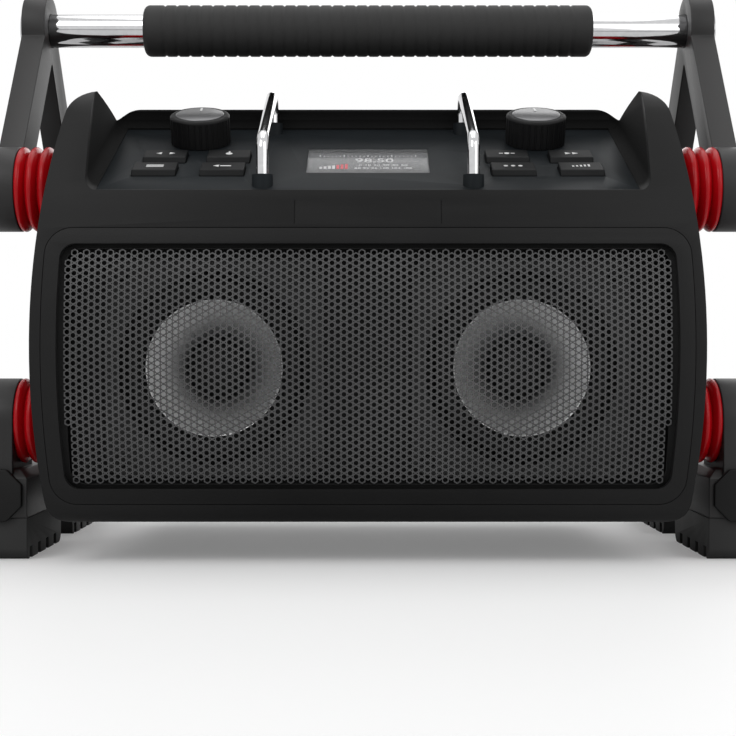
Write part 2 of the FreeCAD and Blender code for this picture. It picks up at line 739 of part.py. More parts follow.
def baffle():
    """Board that carries the loudspeakers, with a rim against the front wall."""
    block = bowed_prism(BAFFLE_HALF, BAFFLE_LOW, BAFFLE_HIGH, OPENING_CORNER_R, FRONT_Y, BAFFLE_Y + BAFFLE_T)
    bore = bowed_prism(BAFFLE_HALF - BAFFLE_RIM, BAFFLE_LOW + BAFFLE_RIM, BAFFLE_HIGH - BAFFLE_RIM,
                       OPENING_CORNER_R, FRONT_Y, BAFFLE_Y)
    board = block.cut(bore).common(side_slab(0, FRONT_WALL))
    back = BAFFLE_Y + BAFFLE_T
    for side in BOTH_SIDES:
        board = board.cut(rod_y(BASKET_R + BASKET_GAP, side * SPEAKER_X, SPEAKER_Z, BAFFLE_Y, back))
    for x, z in speaker_screw_places():
        board = board.cut(rod_y(SPEAKER_SCREW_R, x, z, BAFFLE_Y, back))
    return board


def turned(profile, x):
    """Solid of revolution about a loudspeaker's axis from (radius, y) points."""
    points = [Vec(x + radius, y, SPEAKER_Z) for radius, y in profile]
    face = Part.Face(Part.makePolygon(points + [points[0]]))
    return face.revolve(Vec(x, 0, SPEAKER_Z), Vec(0, 1, 0), 360)


def flange_y():
    return BAFFLE_Y - FLANGE_T


def cone_y(radius):
    """Depth of the cone's front face at a radius."""
    rim = flange_y() - CONE_RIM_PROUD
    return rim + CONE_DEPTH * (CONE_R - radius) / (CONE_R - COIL_R)


def magnet_front_y():
    return BAFFLE_Y + BASKET_DEPTH


def speaker_basket(x):
    front, tail, wall = flange_y(), magnet_front_y(), BASKET_WALL
    half = FLANGE_HALF
    flange = box(x - half, x + half, front, BAFFLE_Y, SPEAKER_Z - half, SPEAKER_Z + half)
    flange = flange.makeFillet(FLANGE_CORNER_R, edges_along(flange, Vec(0, 1, 0), lambda point: True))
    shoulder = BAFFLE_Y + BAFFLE_T
    cup = turned([(BASKET_R, front), (BASKET_R, shoulder), (BASKET_TAIL_R, tail), (COIL_PASSAGE_R, tail),
                  (COIL_PASSAGE_R, tail - wall), (BASKET_TAIL_R - wall, tail - wall),
                  (BASKET_R - wall, shoulder), (BASKET_R - wall, front)], x)
    basket = flange.cut(rod_y(BASKET_R - wall, x, SPEAKER_Z, front, BAFFLE_Y)).fuse(cup)
    window = box(x - BASKET_WINDOW_W / 2, x + BASKET_WINDOW_W / 2, shoulder + WINDOW_FRONT_GAP,
                 tail - WINDOW_BACK_GAP, SPEAKER_Z + COIL_PASSAGE_R, SPEAKER_Z + BASKET_R)
    for turn in range(BASKET_WINDOWS):
        turned_window = window.copy()
        turned_window.rotate(Vec(x, 0, SPEAKER_Z), Vec(0, 1, 0), turn * 360 / BASKET_WINDOWS)
        basket = basket.cut(turned_window)
    for screw_x, z in speaker_screw_places():
        basket = basket.cut(rod_y(SPEAKER_SCREW_PASS_R, screw_x, z, front, BAFFLE_Y))
    return basket.removeSplitter()


def speaker_cone(x):
    """Paper cone with its voice coil, and the domed dust cap glued in its middle."""
    coil_outer = COIL_R + COIL_T
    coil_end = cone_y(COIL_R) + COIL_LENGTH
    cone = turned([(CONE_R, cone_y(CONE_R)), (CONE_R, cone_y(CONE_R) + CONE_WALL),
                   (coil_outer, cone_y(coil_outer) + CONE_WALL), (coil_outer, coil_end), (COIL_R, coil_end),
                   (COIL_R, cone_y(COIL_R))], x)
    edge_y = cone_y(DUST_CAP_R)
    centre_y = edge_y + math.sqrt(DUST_CAP_DOME_R ** 2 - DUST_CAP_R ** 2)

    def dome_arc(radius, reach):
        """Arc from the cap's axis out to a radius, in the plane through the axis."""
        def at(out):
            return Vec(x + out, centre_y - math.sqrt(radius ** 2 - out ** 2), SPEAKER_Z)
        return at(0), at(reach / 2), at(reach)

    outer = dome_arc(DUST_CAP_DOME_R, DUST_CAP_R)
    inner = dome_arc(DUST_CAP_DOME_R - CONE_WALL, DUST_CAP_R - CONE_WALL)
    edges = [
        Part.Arc(*outer).toShape(),
        Part.LineSegment(outer[2], inner[2]).toShape(),
        Part.Arc(*inner).toShape(),
        Part.LineSegment(inner[0], outer[0]).toShape(),
    ]
    face = Part.Face(Part.Wire(Part.__sortEdges__(edges)))
    return [cone, face.revolve(Vec(x, 0, SPEAKER_Z), Vec(0, 1, 0), 360)]


def speaker_surround(x):
    """Half-roll surround from the cone's rim to the basket's flange."""
    rim, flange, thick = cone_y(CONE_R), flange_y(), ROLL_T
    outer = CONE_R + ROLL_WIDTH
    middle, roll_r = CONE_R + ROLL_WIDTH / 2, ROLL_WIDTH / 2
    roll = Part.makeTorus(middle, roll_r, Vec(x, rim, SPEAKER_Z), Vec(0, 1, 0))
    bore = Part.makeTorus(middle, roll_r - thick, Vec(x, rim, SPEAKER_Z), Vec(0, 1, 0))
    half = roll.cut(bore).common(rod_y(SURROUND_OUTER_R, x, SPEAKER_Z, rim - ROLL_WIDTH, rim))
    skirt = rod_y(outer, x, SPEAKER_Z, rim, flange).cut(rod_y(outer - thick, x, SPEAKER_Z, rim, flange))
    lip = rod_y(SURROUND_OUTER_R, x, SPEAKER_Z, flange - thick, flange)
    lip = lip.cut(rod_y(outer - thick, x, SPEAKER_Z, flange - thick, flange))
    return fuse([half, skirt, lip])


def speaker_magnet(x):
    """Top plate, ring magnet and back plate with its pole, as one bonded motor."""
    start = magnet_front_y()
    gap_r = COIL_R + COIL_T + COIL_CLEARANCE
    plate_r = MAGNET_R - PLATE_INSET
    plate = rod_y(plate_r, x, SPEAKER_Z, start, start + TOP_PLATE_T)
    plate = plate.cut(rod_y(gap_r, x, SPEAKER_Z, start, start + TOP_PLATE_T))
    magnet_end = start + TOP_PLATE_T + MAGNET_T
    ring = rod_y(MAGNET_R, x, SPEAKER_Z, start + TOP_PLATE_T, magnet_end)
    ring = ring.cut(rod_y(gap_r + MAGNET_WALL_GAP, x, SPEAKER_Z, start + TOP_PLATE_T, magnet_end))
    back = rod_y(plate_r, x, SPEAKER_Z, magnet_end, magnet_end + BACK_PLATE_T)
    pole = rod_y(COIL_R - COIL_CLEARANCE, x, SPEAKER_Z, start, magnet_end)
    return [plate, ring, back.fuse(pole).removeSplitter()]


def speaker_screws():
    front = flange_y()
    head_front = front - SPEAKER_SCREW_HEAD_T
    screws = []
    for x, z in speaker_screw_places():
        head = rod_y(SPEAKER_SCREW_HEAD_R, x, z, head_front, front)
        rounded = [edge for edge in head.Edges if edge.Closed and edge.CenterOfMass.y < head_front + SMALL_GAP]
        head = head.makeFillet(SPEAKER_SCREW_EDGE_R, rounded)
        shank = rod_y(SPEAKER_SCREW_R, x, z, front, front + SPEAKER_SCREW_LENGTH)
        screws.append(head.fuse(shank).removeSplitter())
    return screws


def key_places():
    places = {name: (x, LOWER_ROW_S) for name, x in LOWER_ROW.items()}
    places.update({name: (x, UPPER_ROW_S) for name, x in UPPER_ROW.items()})
    return places


def rounded_block(x, s, half_x, half_s, low, high, radius):
    """Block in the panel's frame with round upright corners."""
    block = box(x - half_x, x + half_x, s - half_s, s + half_s, low, high)
    return block.makeFillet(radius, edges_along(block, Vec(0, 0, 1), lambda point: True))


def guard_sockets():
    """Upright bosses on the panel that the guard bars stand in."""
    bosses = []
    below = on_panel(box(-BEYOND, BEYOND, -BEYOND, BEYOND, -BEYOND, -PANEL_T / 2))
    for side in BOTH_SIDES:
        for s in (GUARD_FRONT_S, GUARD_BACK_S):
            foot = panel_point(side * GUARD_X, s, 0)
            bosses.append(rod(BOSS_R, foot - Vec(0, 0, BOSS_R), foot + Vec(0, 0, BOSS_RISE)).cut(below))
    return bosses


def display_box(grow, low, high):
    """Block over the display window, grown on each side."""
    return box(-DISPLAY_HALF - grow, DISPLAY_HALF + grow, DISPLAY_START - grow, DISPLAY_END + grow, low, high)


def control_panel():
    gap = PANEL_GAP
    panel = box(-PANEL_HALF + gap, PANEL_HALF - gap, PANEL_START + gap, PANEL_END - gap, -PANEL_T, 0)
    for x, s in key_places().values():
        half_x, half_s = KEY_WIDTH / 2 + KEY_GAP, KEY_LENGTH / 2 + KEY_GAP
        panel = panel.cut(rounded_block(x, s, half_x, half_s, -PANEL_T, 0, KEY_CORNER_R + KEY_GAP))
    panel = panel.cut(display_box(0, -PANEL_T, 0)).cut(display_box(LENS_LAP, -PANEL_T, -PANEL_T / 2))
    for side in BOTH_SIDES:
        centre = Vec(side * KNOB_X, KNOB_S, -PANEL_T)
        panel = panel.cut(Part.makeCylinder(BUSH_R + BUSH_HOLE_GAP, PANEL_T, centre))
    posts = []
    for x in POST_COLUMNS:
        for s in POST_ROWS:
            posts.append(Part.makeCylinder(POST_R, BOARD_DEPTH - PANEL_T, Vec(x, s, -BOARD_DEPTH)))
    panel = fuse([on_panel(fuse([panel] + posts))] + guard_sockets())
    for side in BOTH_SIDES:
        panel = panel.cut(guard_bar(side))
    return panel


def guard_bar(side):
    """Upright rod that bends back, runs parallel to the panel and comes down again."""
    x = side * GUARD_X
    front_foot = panel_point(x, GUARD_FRONT_S, 0)
    back_foot = panel_point(x, GUARD_BACK_S, 0)
    rise, seat = Vec(0, 0, GUARD_RISE), Vec(0, 0, GUARD_SEAT)
    route = [front_foot + seat, front_foot + rise, back_foot + rise, back_foot + seat]
    edges, start = [], route[0]
    for corner in (1, 2):
        back_dir = (route[corner - 1] - route[corner]).normalize()
        on_dir = (route[corner + 1] - route[corner]).normalize()
        half_angle = back_dir.getAngle(on_dir) / 2
        reach = GUARD_BEND_R / math.tan(half_angle)
        bisector = (back_dir + on_dir).normalize()
        centre = route[corner] + bisector * (GUARD_BEND_R / math.sin(half_angle))
        first = route[corner] + back_dir * reach
        last = route[corner] + on_dir * reach
        edges.append(Part.LineSegment(start, first).toShape())
        edges.append(Part.Arc(first, centre - bisector * GUARD_BEND_R, last).toShape())
        start = last
    edges.append(Part.LineSegment(start, route[3]).toShape())
    section = Part.Wire([Part.Circle(route[0], Vec(0, 0, 1), GUARD_R).toShape()])
    return Part.Wire(edges).makePipeShell([section], True, False)


def display_lens():
    pane = display_box(-LENS_GAP, -PANEL_T / 2, -LENS_SINK)
    ledge = display_box(LENS_LAP - LENS_GAP, -PANEL_T, -PANEL_T / 2)
    return on_panel(fuse([pane, ledge]))


def display_module():
    edge = DISPLAY_HALF + DISPLAY_RIM
    top, bottom = -PANEL_T, -PANEL_T - DISPLAY_T
    body = box(-edge, edge, DISPLAY_START - DISPLAY_END_RIM, DISPLAY_END + DISPLAY_END_RIM, bottom, top)
    pins = []
    for side in BOTH_SIDES:
        near, far = side * (DISPLAY_HALF - DISPLAY_PIN_W), side * DISPLAY_HALF
        pins.append(box(min(near, far), max(near, far), DISPLAY_START, DISPLAY_END, -BOARD_DEPTH, bottom))
    return on_panel(fuse([body] + pins))


def key_cap(x, s):
    """Key with a retaining flange below the panel and a stem down to its switch."""
    flange_top = -PANEL_T - KEY_GAP
    flange_low = flange_top - KEY_FLANGE_T
    top = rounded_block(x, s, KEY_WIDTH / 2, KEY_LENGTH / 2, flange_top, KEY_PROUD, KEY_CORNER_R)
    rounded = [edge for edge in top.Edges if edge.CenterOfMass.z > KEY_PROUD - KEY_EDGE_R / 2]
    top = top.makeFillet(KEY_EDGE_R, rounded)
    flange = rounded_block(x, s, KEY_WIDTH / 2 + KEY_FLANGE, KEY_LENGTH / 2 + KEY_FLANGE,
                           flange_low, flange_top, KEY_CORNER_R)
    half = KEY_STEM / 2
    stem = box(x - half, x + half, s - half, s + half, -KEY_STEM_END, flange_low)
    return on_panel(fuse([top, flange, stem]))


def control_board():
    """Circuit board under the panel and the switch below each key."""
    top = -BOARD_DEPTH
    pieces = [on_panel(box(-BOARD_HALF, BOARD_HALF, BOARD_START, BOARD_END, top - BOARD_T, top))]
    half = SWITCH_HALF
    for x, s in key_places().values():
        pieces.append(on_panel(box(x - half, x + half, s - half, s + half, top, top + SWITCH_T)))
    return pieces


def encoder(side):
    x = side * KNOB_X
    half = ENCODER_HALF
    body = box(x - half, x + half, KNOB_S - half, KNOB_S + half, -BOARD_DEPTH, -PANEL_T)
    bush = Part.makeCylinder(BUSH_R, PANEL_T, Vec(x, KNOB_S, -PANEL_T))
    bore = Part.makeCylinder(SHAFT_R + SHAFT_FIT, BOARD_DEPTH, Vec(x, KNOB_S, SHAFT_END_GAP - BOARD_DEPTH))
    return on_panel(body.fuse(bush).cut(bore).removeSplitter())


def knob(side):
    x = side * KNOB_X
    base = Vec(x, KNOB_S, KNOB_LIFT)
    body = Part.makeCylinder(KNOB_R, KNOB_HEIGHT, base)
    rounded = [edge for edge in body.Edges if edge.Closed and edge.CenterOfMass.z > KNOB_HEIGHT]
    body = body.makeFillet(KNOB_EDGE_R, rounded)
    reach = KNOB_R + KNOB_RIB_OUT
    for rib in range(KNOB_RIBS):
        angle = 2 * math.pi * rib / KNOB_RIBS
        centre = base + Vec(reach * math.cos(angle), reach * math.sin(angle), 0)
        body = body.cut(Part.makeCylinder(KNOB_RIB_R, KNOB_HEIGHT - KNOB_EDGE_R, centre))
    shaft_low = SHAFT_END_GAP + KNOB_LIFT - BOARD_DEPTH
    shaft = Part.makeCylinder(SHAFT_R, KNOB_LIFT - shaft_low, Vec(x, KNOB_S, shaft_low))
    return on_panel(body.fuse(shaft).removeSplitter())


def ribbed_absorber(side, y, z):
    """Rubber bellows with rounded ribs, pierced for its bolt."""
    pitch = ABSORBER_LENGTH / RIB_COUNT
    start, end = Vec(side * PAD_FACE_X, y, z), Vec(side * FRAME_INNER_X, y, z)
    solids = [rod(RIB_ROOT_R, start, end)]
    for rib in range(RIB_COUNT):
        middle = PAD_FACE_X + pitch * (rib + 0.5)
        disc = rod(RIB_R, Vec(side * (middle - RIB_T / 2), y, z), Vec(side * (middle + RIB_T / 2), y, z))
        solids.append(disc.makeFillet(RIB_EDGE_R, [edge for edge in disc.Edges if edge.Closed]))
    return fuse(solids).cut(rod(BOLT_R + BOLT_CLEARANCE, start, end))


def hub_places():
    return [(y, z) for y in HUB_ROWS.values() for z in HUB_HEIGHTS]


def hub_bolts(side):
    bolts = []
    seat = frame_outer_x() - BOLT_SINK
    top = seat + BOLT_HEAD_T
    for y, z in hub_places():
        head = rod(BOLT_HEAD_R, Vec(side * seat, y, z), Vec(side * top, y, z))
        socket = rod(BOLT_SOCKET_R, Vec(side * (top - BOLT_SOCKET_DEPTH), y, z), Vec(side * top, y, z))
        shank = rod(BOLT_R, Vec(side * (PAD_FACE_X - BOLT_BITE), y, z), Vec(side * seat, y, z))
        bolts.append(head.cut(socket).fuse(shank).removeSplitter())
    return bolts


def plate_disc(y, z, radius):
    return Part.Face(Part.Wire([Part.Circle(Vec(0, y, z), Vec(1, 0, 0), radius).toShape()]))


def plate_limb(y0, z0, y1, z1, half):
    """Straight limb of the side frame between two centres, as a flat face."""
    start, end = Vec(0, y0, z0), Vec(0, y1, z1)
    across = (end - start).cross(Vec(1, 0, 0)).normalize() * half
    corners = [start + across, end + across, end - across, start - across]
    return Part.Face(Part.makePolygon(corners + [corners[0]]))


def mirrored(solid, side):
    return solid if side > 0 else solid.mirror(Vec(0, 0, 0), Vec(1, 0, 0))


def side_frame(side):
    front_y, rear_y = FRONT_HUB_Y, REAR_HUB_Y
    low_z, high_z = HUB_HEIGHTS
    faces = [plate_disc(y, z, HUB_R) for y, z in hub_places()]
    faces.append(plate_disc(HANDLE_Y, HANDLE_Z, HANDLE_HUB_R))
    faces.append(plate_limb(front_y, BEAM_LOW, front_y, low_z, HUB_R))
    faces.append(plate_limb(rear_y, BEAM_LOW, rear_y, low_z, HUB_R))
    middle = (BEAM_LOW + BEAM_HIGH) / 2
    faces.append(plate_limb(front_y, middle, rear_y, middle, (BEAM_HIGH - BEAM_LOW) / 2))
    faces.append(plate_limb(rear_y, low_z, rear_y, high_z, LIMB_HALF))
    faces.append(plate_limb(front_y, high_z, rear_y, high_z, LIMB_HALF))
    faces.append(plate_limb(front_y, high_z, HANDLE_Y, HANDLE_Z, HANDLE_LIMB_HALF))
    faces.append(plate_limb(rear_y, high_z, HANDLE_Y, HANDLE_Z, HANDLE_LIMB_HALF))
    plate = fuse(faces).extrude(Vec(FRAME_T, 0, 0))
    plate.translate(Vec(FRAME_INNER_X, 0, 0))
    frame = fuse([plate] + [foot_block(foot) for foot in (FRONT_FOOT, REAR_FOOT)])
    outer_x = frame_outer_x()
    seat = outer_x - BOLT_SINK
    for y, z in hub_places():
        frame = frame.cut(rod(BOLT_R + BOLT_CLEARANCE, Vec(FRAME_INNER_X, y, z), Vec(outer_x, y, z)))
        frame = frame.cut(rod(BOLT_HEAD_R + BOLT_CLEARANCE, Vec(seat, y, z), Vec(outer_x, y, z)))
    bar = rod(HANDLE_R, Vec(FRAME_INNER_X, HANDLE_Y, HANDLE_Z), Vec(outer_x, HANDLE_Y, HANDLE_Z))
    return mirrored(frame.cut(bar), side)


def foot_core(foot, low):
    """Part of the foot that the boot closes round."""
    wall = BOOT_WALL
    return box(BOOT_INNER_X + wall, BOOT_OUTER_X - wall, foot[0] + wall, foot[1] - wall, low, BOOT_HEIGHT)


def foot_block(foot):
    """Wide lower end of the side frame that the rubber boot is pulled over."""
    block = box(BOOT_INNER_X, BOOT_OUTER_X, foot[0], foot[1], BOOT_HEIGHT, BLOCK_HIGH)
    top_edges = [edge for edge in block.Edges if edge.CenterOfMass.z > BLOCK_HIGH - SMALL_GAP]
    return block.makeChamfer(BLOCK_CHAMFER, top_edges).fuse(foot_core(foot, BOOT_FLOOR))


def boot(side, foot):
    solid = box(BOOT_INNER_X, BOOT_OUTER_X, foot[0], foot[1], 0, BOOT_HEIGHT)
    rounded = edges_along(solid, Vec(1, 0, 0), lambda point: point.z < SMALL_GAP)
    solid = solid.makeFillet(BOOT_EDGE_R, rounded).cut(foot_core(foot, BOOT_FLOOR))
    for groove in range(int((foot[1] - foot[0]) // TREAD_PITCH)):
        start = foot[0] + TREAD_START + groove * TREAD_PITCH - TREAD_WIDTH / 2
        for edge_x in (BOOT_INNER_X, BOOT_OUTER_X - TREAD_DEPTH):
            notch = box(edge_x, edge_x + TREAD_DEPTH, start, start + TREAD_WIDTH, 0, TREAD_HEIGHT)
            solid = solid.cut(notch)
    return mirrored(solid, side)


def leg_cap(side):
    """Octagonal plug on the front of the lower leg."""
    step = math.pi / 4
    corner_r = CAP_FLATS / 2 / math.cos(step / 2)
    points = []
    for corner in range(8):
        angle = step * (corner + 0.5)
        across, up = corner_r * math.cos(angle), corner_r * math.sin(angle)
        points.append(Vec(side * CAP_X + across, FRONT_FOOT[0] - CAP_T, CAP_Z + up))
    face = Part.Face(Part.makePolygon(points + [points[0]]))
    return face.extrude(Vec(0, CAP_T, 0))


def along_handle(radius, x0, x1):
    return rod(radius, Vec(x0, HANDLE_Y, HANDLE_Z), Vec(x1, HANDLE_Y, HANDLE_Z))


def handle_bar():
    """Tube between the side frames, with a plug in each end."""
    half = frame_outer_x()
    pieces = [along_handle(HANDLE_R, -half, half).cut(along_handle(HANDLE_BORE_R, -half, half))]
    for side in BOTH_SIDES:
        cap = along_handle(HANDLE_CAP_R, side * half, side * (half + HANDLE_CAP_T))
        plug = along_handle(HANDLE_BORE_R, side * (half - HANDLE_PLUG), side * half)
        pieces.append(cap.fuse(plug).removeSplitter())
    return pieces


def handle_grip():
    sleeve = along_handle(GRIP_R, -GRIP_HALF, GRIP_HALF)
    sleeve = sleeve.makeFillet(GRIP_EDGE_R, [edge for edge in sleeve.Edges if edge.Closed])
    return sleeve.cut(along_handle(HANDLE_R, -GRIP_HALF, GRIP_HALF))


def battery_inner_y():
    return inner_back_y() - CELL_GAP - 2 * CELL_R - CELL_BACK_ROOM


def door_hole(grow, y0, y1):
    """Block over the battery door, grown on each side."""
    return box(-DOOR_HALF - grow, DOOR_HALF + grow, y0, y1, DOOR_LOW - grow, DOOR_HIGH + grow)


def battery_box():
    """Tray for the cells, with a rim against the back wall round the door."""
    wall, gap, room = BATTERY_WALL, RIM_GAP, CELL_BACK_ROOM
    low = CELL_FIRST_Z - CELL_R - room
    high = CELL_FIRST_Z + (CELL_ROWS - 1) * CELL_PITCH + CELL_R + room
    inner_y, open_y = battery_inner_y(), inner_back_y()
    rim = door_hole(RIM_LAP, open_y - wall - gap, open_y).cut(door_hole(gap, open_y - gap, open_y))
    rim = rim.common(housing_block(SHELL_WALL, 0, SPLIT_Y, BACK_Y))
    outer = box(-BATTERY_HALF - wall, BATTERY_HALF + wall, inner_y - wall, open_y - gap, low - wall, high + wall)
    hollow = box(-BATTERY_HALF, BATTERY_HALF, inner_y, open_y, low, high)
    return outer.fuse(rim).cut(hollow).removeSplitter()


def cell_places():
    y = battery_inner_y() + CELL_R + CELL_REST
    return [(side, y, CELL_FIRST_Z + row * CELL_PITCH) for side in BOTH_SIDES for row in range(CELL_ROWS)]


def battery_cells():
    cells = []
    for side, y, z in cell_places():
        start = side * SMALL_GAP
        end = start + side * CELL_LENGTH
        shoulder = Vec(end - side * CELL_BUTTON, y, z)
        can = rod(CELL_R, Vec(start, y, z), shoulder)
        button = rod(CELL_BUTTON_R, shoulder, Vec(end, y, z))
        cells.append(can.fuse(button).removeSplitter())
    return cells


def battery_contacts():
    """Plate on the tray's end wall with a conical spring, for each cell."""
    contacts = []
    for side, y, z in cell_places():
        wall_x = side * BATTERY_HALF
        plate_x = wall_x - side * CONTACT_T
        plate = box(min(wall_x, plate_x), max(wall_x, plate_x), y - CONTACT_HALF_Y, y + CONTACT_HALF_Y,
                    z - CONTACT_HALF_Z, z + CONTACT_HALF_Z)
        spring_length = abs(plate_x) - SMALL_GAP - CELL_LENGTH
        spring = Part.makeCone(SPRING_BASE_R, SPRING_TIP_R, spring_length, Vec(plate_x, y, z), Vec(-side, 0, 0))
        contacts.append(plate.fuse(spring).removeSplitter())
    return contacts


def hinge_axis():
    return -DOOR_HALF - HINGE_OFFSET, BACK_Y + HINGE_R + HINGE_LIFT


def knuckle_spans(on_door):
    """Heights of the hinge knuckles, alternating between the shell and the door."""
    height = DOOR_HIGH - DOOR_LOW
    count = int(height // KNUCKLE_SPAN)
    span = height / count
    inset = KNUCKLE_GAP / 2
    spans = []
    for index in range(count):
        if (index % 2 == 1) == on_door:
            low = DOOR_LOW + index * span
            spans.append((low + inset, low + span - inset))
    return spans


def door_knuckles(on_door):
    x, y = hinge_axis()
    knuckles = []
    for low, high in knuckle_spans(on_door):
        barrel = rod(HINGE_R, Vec(x, y, low), Vec(x, y, high))
        if on_door:
            web = box(x, HINGE_WEB - DOOR_HALF, BACK_Y, BACK_Y + HINGE_WEB_DEPTH, low, high)
            web = web.cut(box(x, -DOOR_HALF, BACK_Y, BACK_Y + HINGE_LIFT, low, high))
            bore_r = HINGE_PIN_R + HINGE_FIT
        else:
            web = box(x - KNUCKLE_ROOT, x, BACK_Y, y - HINGE_LIFT, low, high)
            bore_r = HINGE_PIN_R
        knuckles.append(barrel.fuse(web).cut(rod(bore_r, Vec(x, y, low), Vec(x, y, high))).removeSplitter())
    return knuckles


def battery_door():
    plate = door_hole(0, inner_back_y(), BACK_Y)
    middle = (DOOR_LOW + DOOR_HIGH) / 2
    edge = DOOR_HALF - PULL_INSET
    pull = box(edge - PULL_W, edge, BACK_Y, BACK_Y + PULL_RISE, middle - PULL_HALF, middle + PULL_HALF)
    return fuse([plate, pull] + door_knuckles(True))


def cover_axis_y():
    return BACK_Y + COVER_STANDOFF + COVER_T / 2


def along_cover(radius, x0, x1):
    y = cover_axis_y()
    return rod(radius, Vec(x0, y, COVER_AXIS_Z), Vec(x1, y, COVER_AXIS_Z))


def cover_ears():
    """Ears on the back wall that hold the pin of the socket cover."""
    ears = []
    reach = COVER_BARREL_R
    for side in BOTH_SIDES:
        inner = SOCKET_X + side * (COVER_HALF + SMALL_GAP)
        outer = inner + side * EAR_T
        low_x, high_x = min(inner, outer), max(inner, outer)
        ear = box(low_x, high_x, BACK_Y, cover_axis_y() + reach, COVER_AXIS_Z - reach, COVER_AXIS_Z + reach)
        ears.append(ear.cut(along_cover(COVER_PIN_R, low_x, high_x)))
    return ears


def port_cover():
    """Rubber flap over the sockets, hung from a pin along its top edge."""
    y = cover_axis_y()
    left, right = SOCKET_X - COVER_HALF, SOCKET_X + COVER_HALF
    flap = box(left, right, y - COVER_T / 2, y + COVER_T / 2, COVER_LOW, COVER_AXIS_Z)
    flap = flap.makeFillet(COVER_CORNER_R, edges_along(flap, Vec(0, 1, 0), lambda point: point.z < SOCKET_LOW))
    flap = flap.fuse(along_cover(COVER_BARREL_R, left, right))
    return flap.cut(along_cover(COVER_PIN_R + HINGE_FIT, left, right)).removeSplitter()


def hinge_pins():
    x, y = hinge_axis()
    reach = COVER_HALF + SMALL_GAP + EAR_T
    door_pin = rod(HINGE_PIN_R, Vec(x, y, DOOR_LOW), Vec(x, y, DOOR_HIGH))
    return [door_pin, along_cover(COVER_PIN_R, SOCKET_X - reach, SOCKET_X + reach)]


def socket_block():
    """Block against the back wall with a charging socket and two round ones."""
    open_y, lap = inner_back_y(), SOCKET_LAP
    back_y = open_y - SOCKET_DEPTH
    half = SOCKET_HALF + lap
    block = box(SOCKET_X - half, SOCKET_X + half, back_y, open_y, SOCKET_LOW - lap, SOCKET_HIGH + lap)
    floor_y = back_y + SOCKET_FLOOR
    rise = USB_HEIGHT / 2
    left, right = SOCKET_X - USB_HALF, SOCKET_X + USB_HALF
    block = block.cut(box(left, right, floor_y, open_y, USB_Z - rise, USB_Z + rise))
    for side in BOTH_SIDES:
        block = block.cut(rod_y(JACK_R, SOCKET_X + side * JACK_X, JACK_Z, floor_y, open_y))
    return block


def mains_inlet():
    """Inlet with a slot rounded at both ends and two pins."""
    slot_y = BACK_Y - INLET_SLOT_DEPTH
    pin_end = slot_y + INLET_PIN_LENGTH
    run = INLET_SLOT_HALF - INLET_SLOT_R
    slot = box(INLET_X - run, INLET_X + run, slot_y, BACK_Y, INLET_Z - INLET_SLOT_R, INLET_Z + INLET_SLOT_R)
    pins = []
    for side in BOTH_SIDES:
        slot = slot.fuse(rod_y(INLET_SLOT_R, INLET_X + side * run, INLET_Z, slot_y, BACK_Y))
        pins.append(rod_y(INLET_PIN_R, INLET_X + side * INLET_PIN_X, INLET_Z, slot_y, pin_end))
    return fuse([inlet_body(BACK_Y - INLET_DEPTH).cut(slot)] + pins)


def amplifier_board():
    """Amplifier's circuit board and the finned heat sink on it."""
    board = box(-AMP_HALF, AMP_HALF, AMP_Y, AMP_Y + BOARD_T, AMP_LOW, AMP_HIGH)
    middle = (AMP_LOW + AMP_HIGH) / 2
    low, high = middle - SINK_HALF_Z, middle + SINK_HALF_Z
    base_y = AMP_Y - SINK_BASE_T
    sink = [box(-SINK_HALF, SINK_HALF, base_y, AMP_Y, low, high)]
    step = (2 * SINK_HALF - SINK_FIN_T) / (SINK_FINS - 1)
    for fin in range(SINK_FINS):
        x = -SINK_HALF + fin * step
        sink.append(box(x, x + SINK_FIN_T, AMP_Y - SINK_DEPTH, base_y, low, high))
    return [board, fuse(sink)]


def transformer():
    """Laminated core with its winding, on a foot on the shell's floor."""
    half, leg, stack = CORE_HALF, CORE_LEG, CORE_STACK / 2
    floor = BASE_Z + SHELL_WALL
    low = floor + CORE_FOOT_T
    high = low + CORE_HEIGHT

    def block(half_x, half_y, z0, z1):
        return box(-CORE_X - half_x, -CORE_X + half_x, CORE_Y - half_y, CORE_Y + half_y, z0, z1)

    core = block(half, stack, floor, high).cut(block(WINDING_HALF, CORE_STACK, low + leg, high - leg))
    return [core, block(WINDING_HALF, stack + WINDING_PROUD, low + leg, high - leg)]


def antenna_pivot():
    return Vec(ANTENNA_X, BACK_Y + ANTENNA_BASE_T, ANTENNA_Z)


def antenna_base():
    """Boss on the back wall with the pin that the whip turns on."""
    pivot = antenna_pivot()
    boss = rod(ANTENNA_BASE_R, Vec(pivot.x, BACK_Y, pivot.z), pivot)
    pin = rod(ANTENNA_PIN_R, pivot, pivot + Vec(0, ANTENNA_GAP + ANTENNA_KNUCKLE_T, 0))
    return boss.fuse(pin).removeSplitter()


def antenna_whip():
    """Rubber whip stowed level behind the housing on a round knuckle."""
    start = antenna_pivot() + Vec(0, ANTENNA_GAP, 0)
    end = start + Vec(0, ANTENNA_KNUCKLE_T, 0)
    knuckle = rod(ANTENNA_KNUCKLE_R, start, end)
    middle = (start + end) * 0.5
    whip = Part.makeCone(ANTENNA_R, ANTENNA_TIP_R, ANTENNA_LENGTH, middle, Vec(-1, 0, 0))
    tip = Part.makeSphere(ANTENNA_TIP_R, middle - Vec(ANTENNA_LENGTH, 0, 0))
    return fuse([knuckle, whip, tip]).cut(rod(ANTENNA_PIN_R + ANTENNA_FIT, start, end))


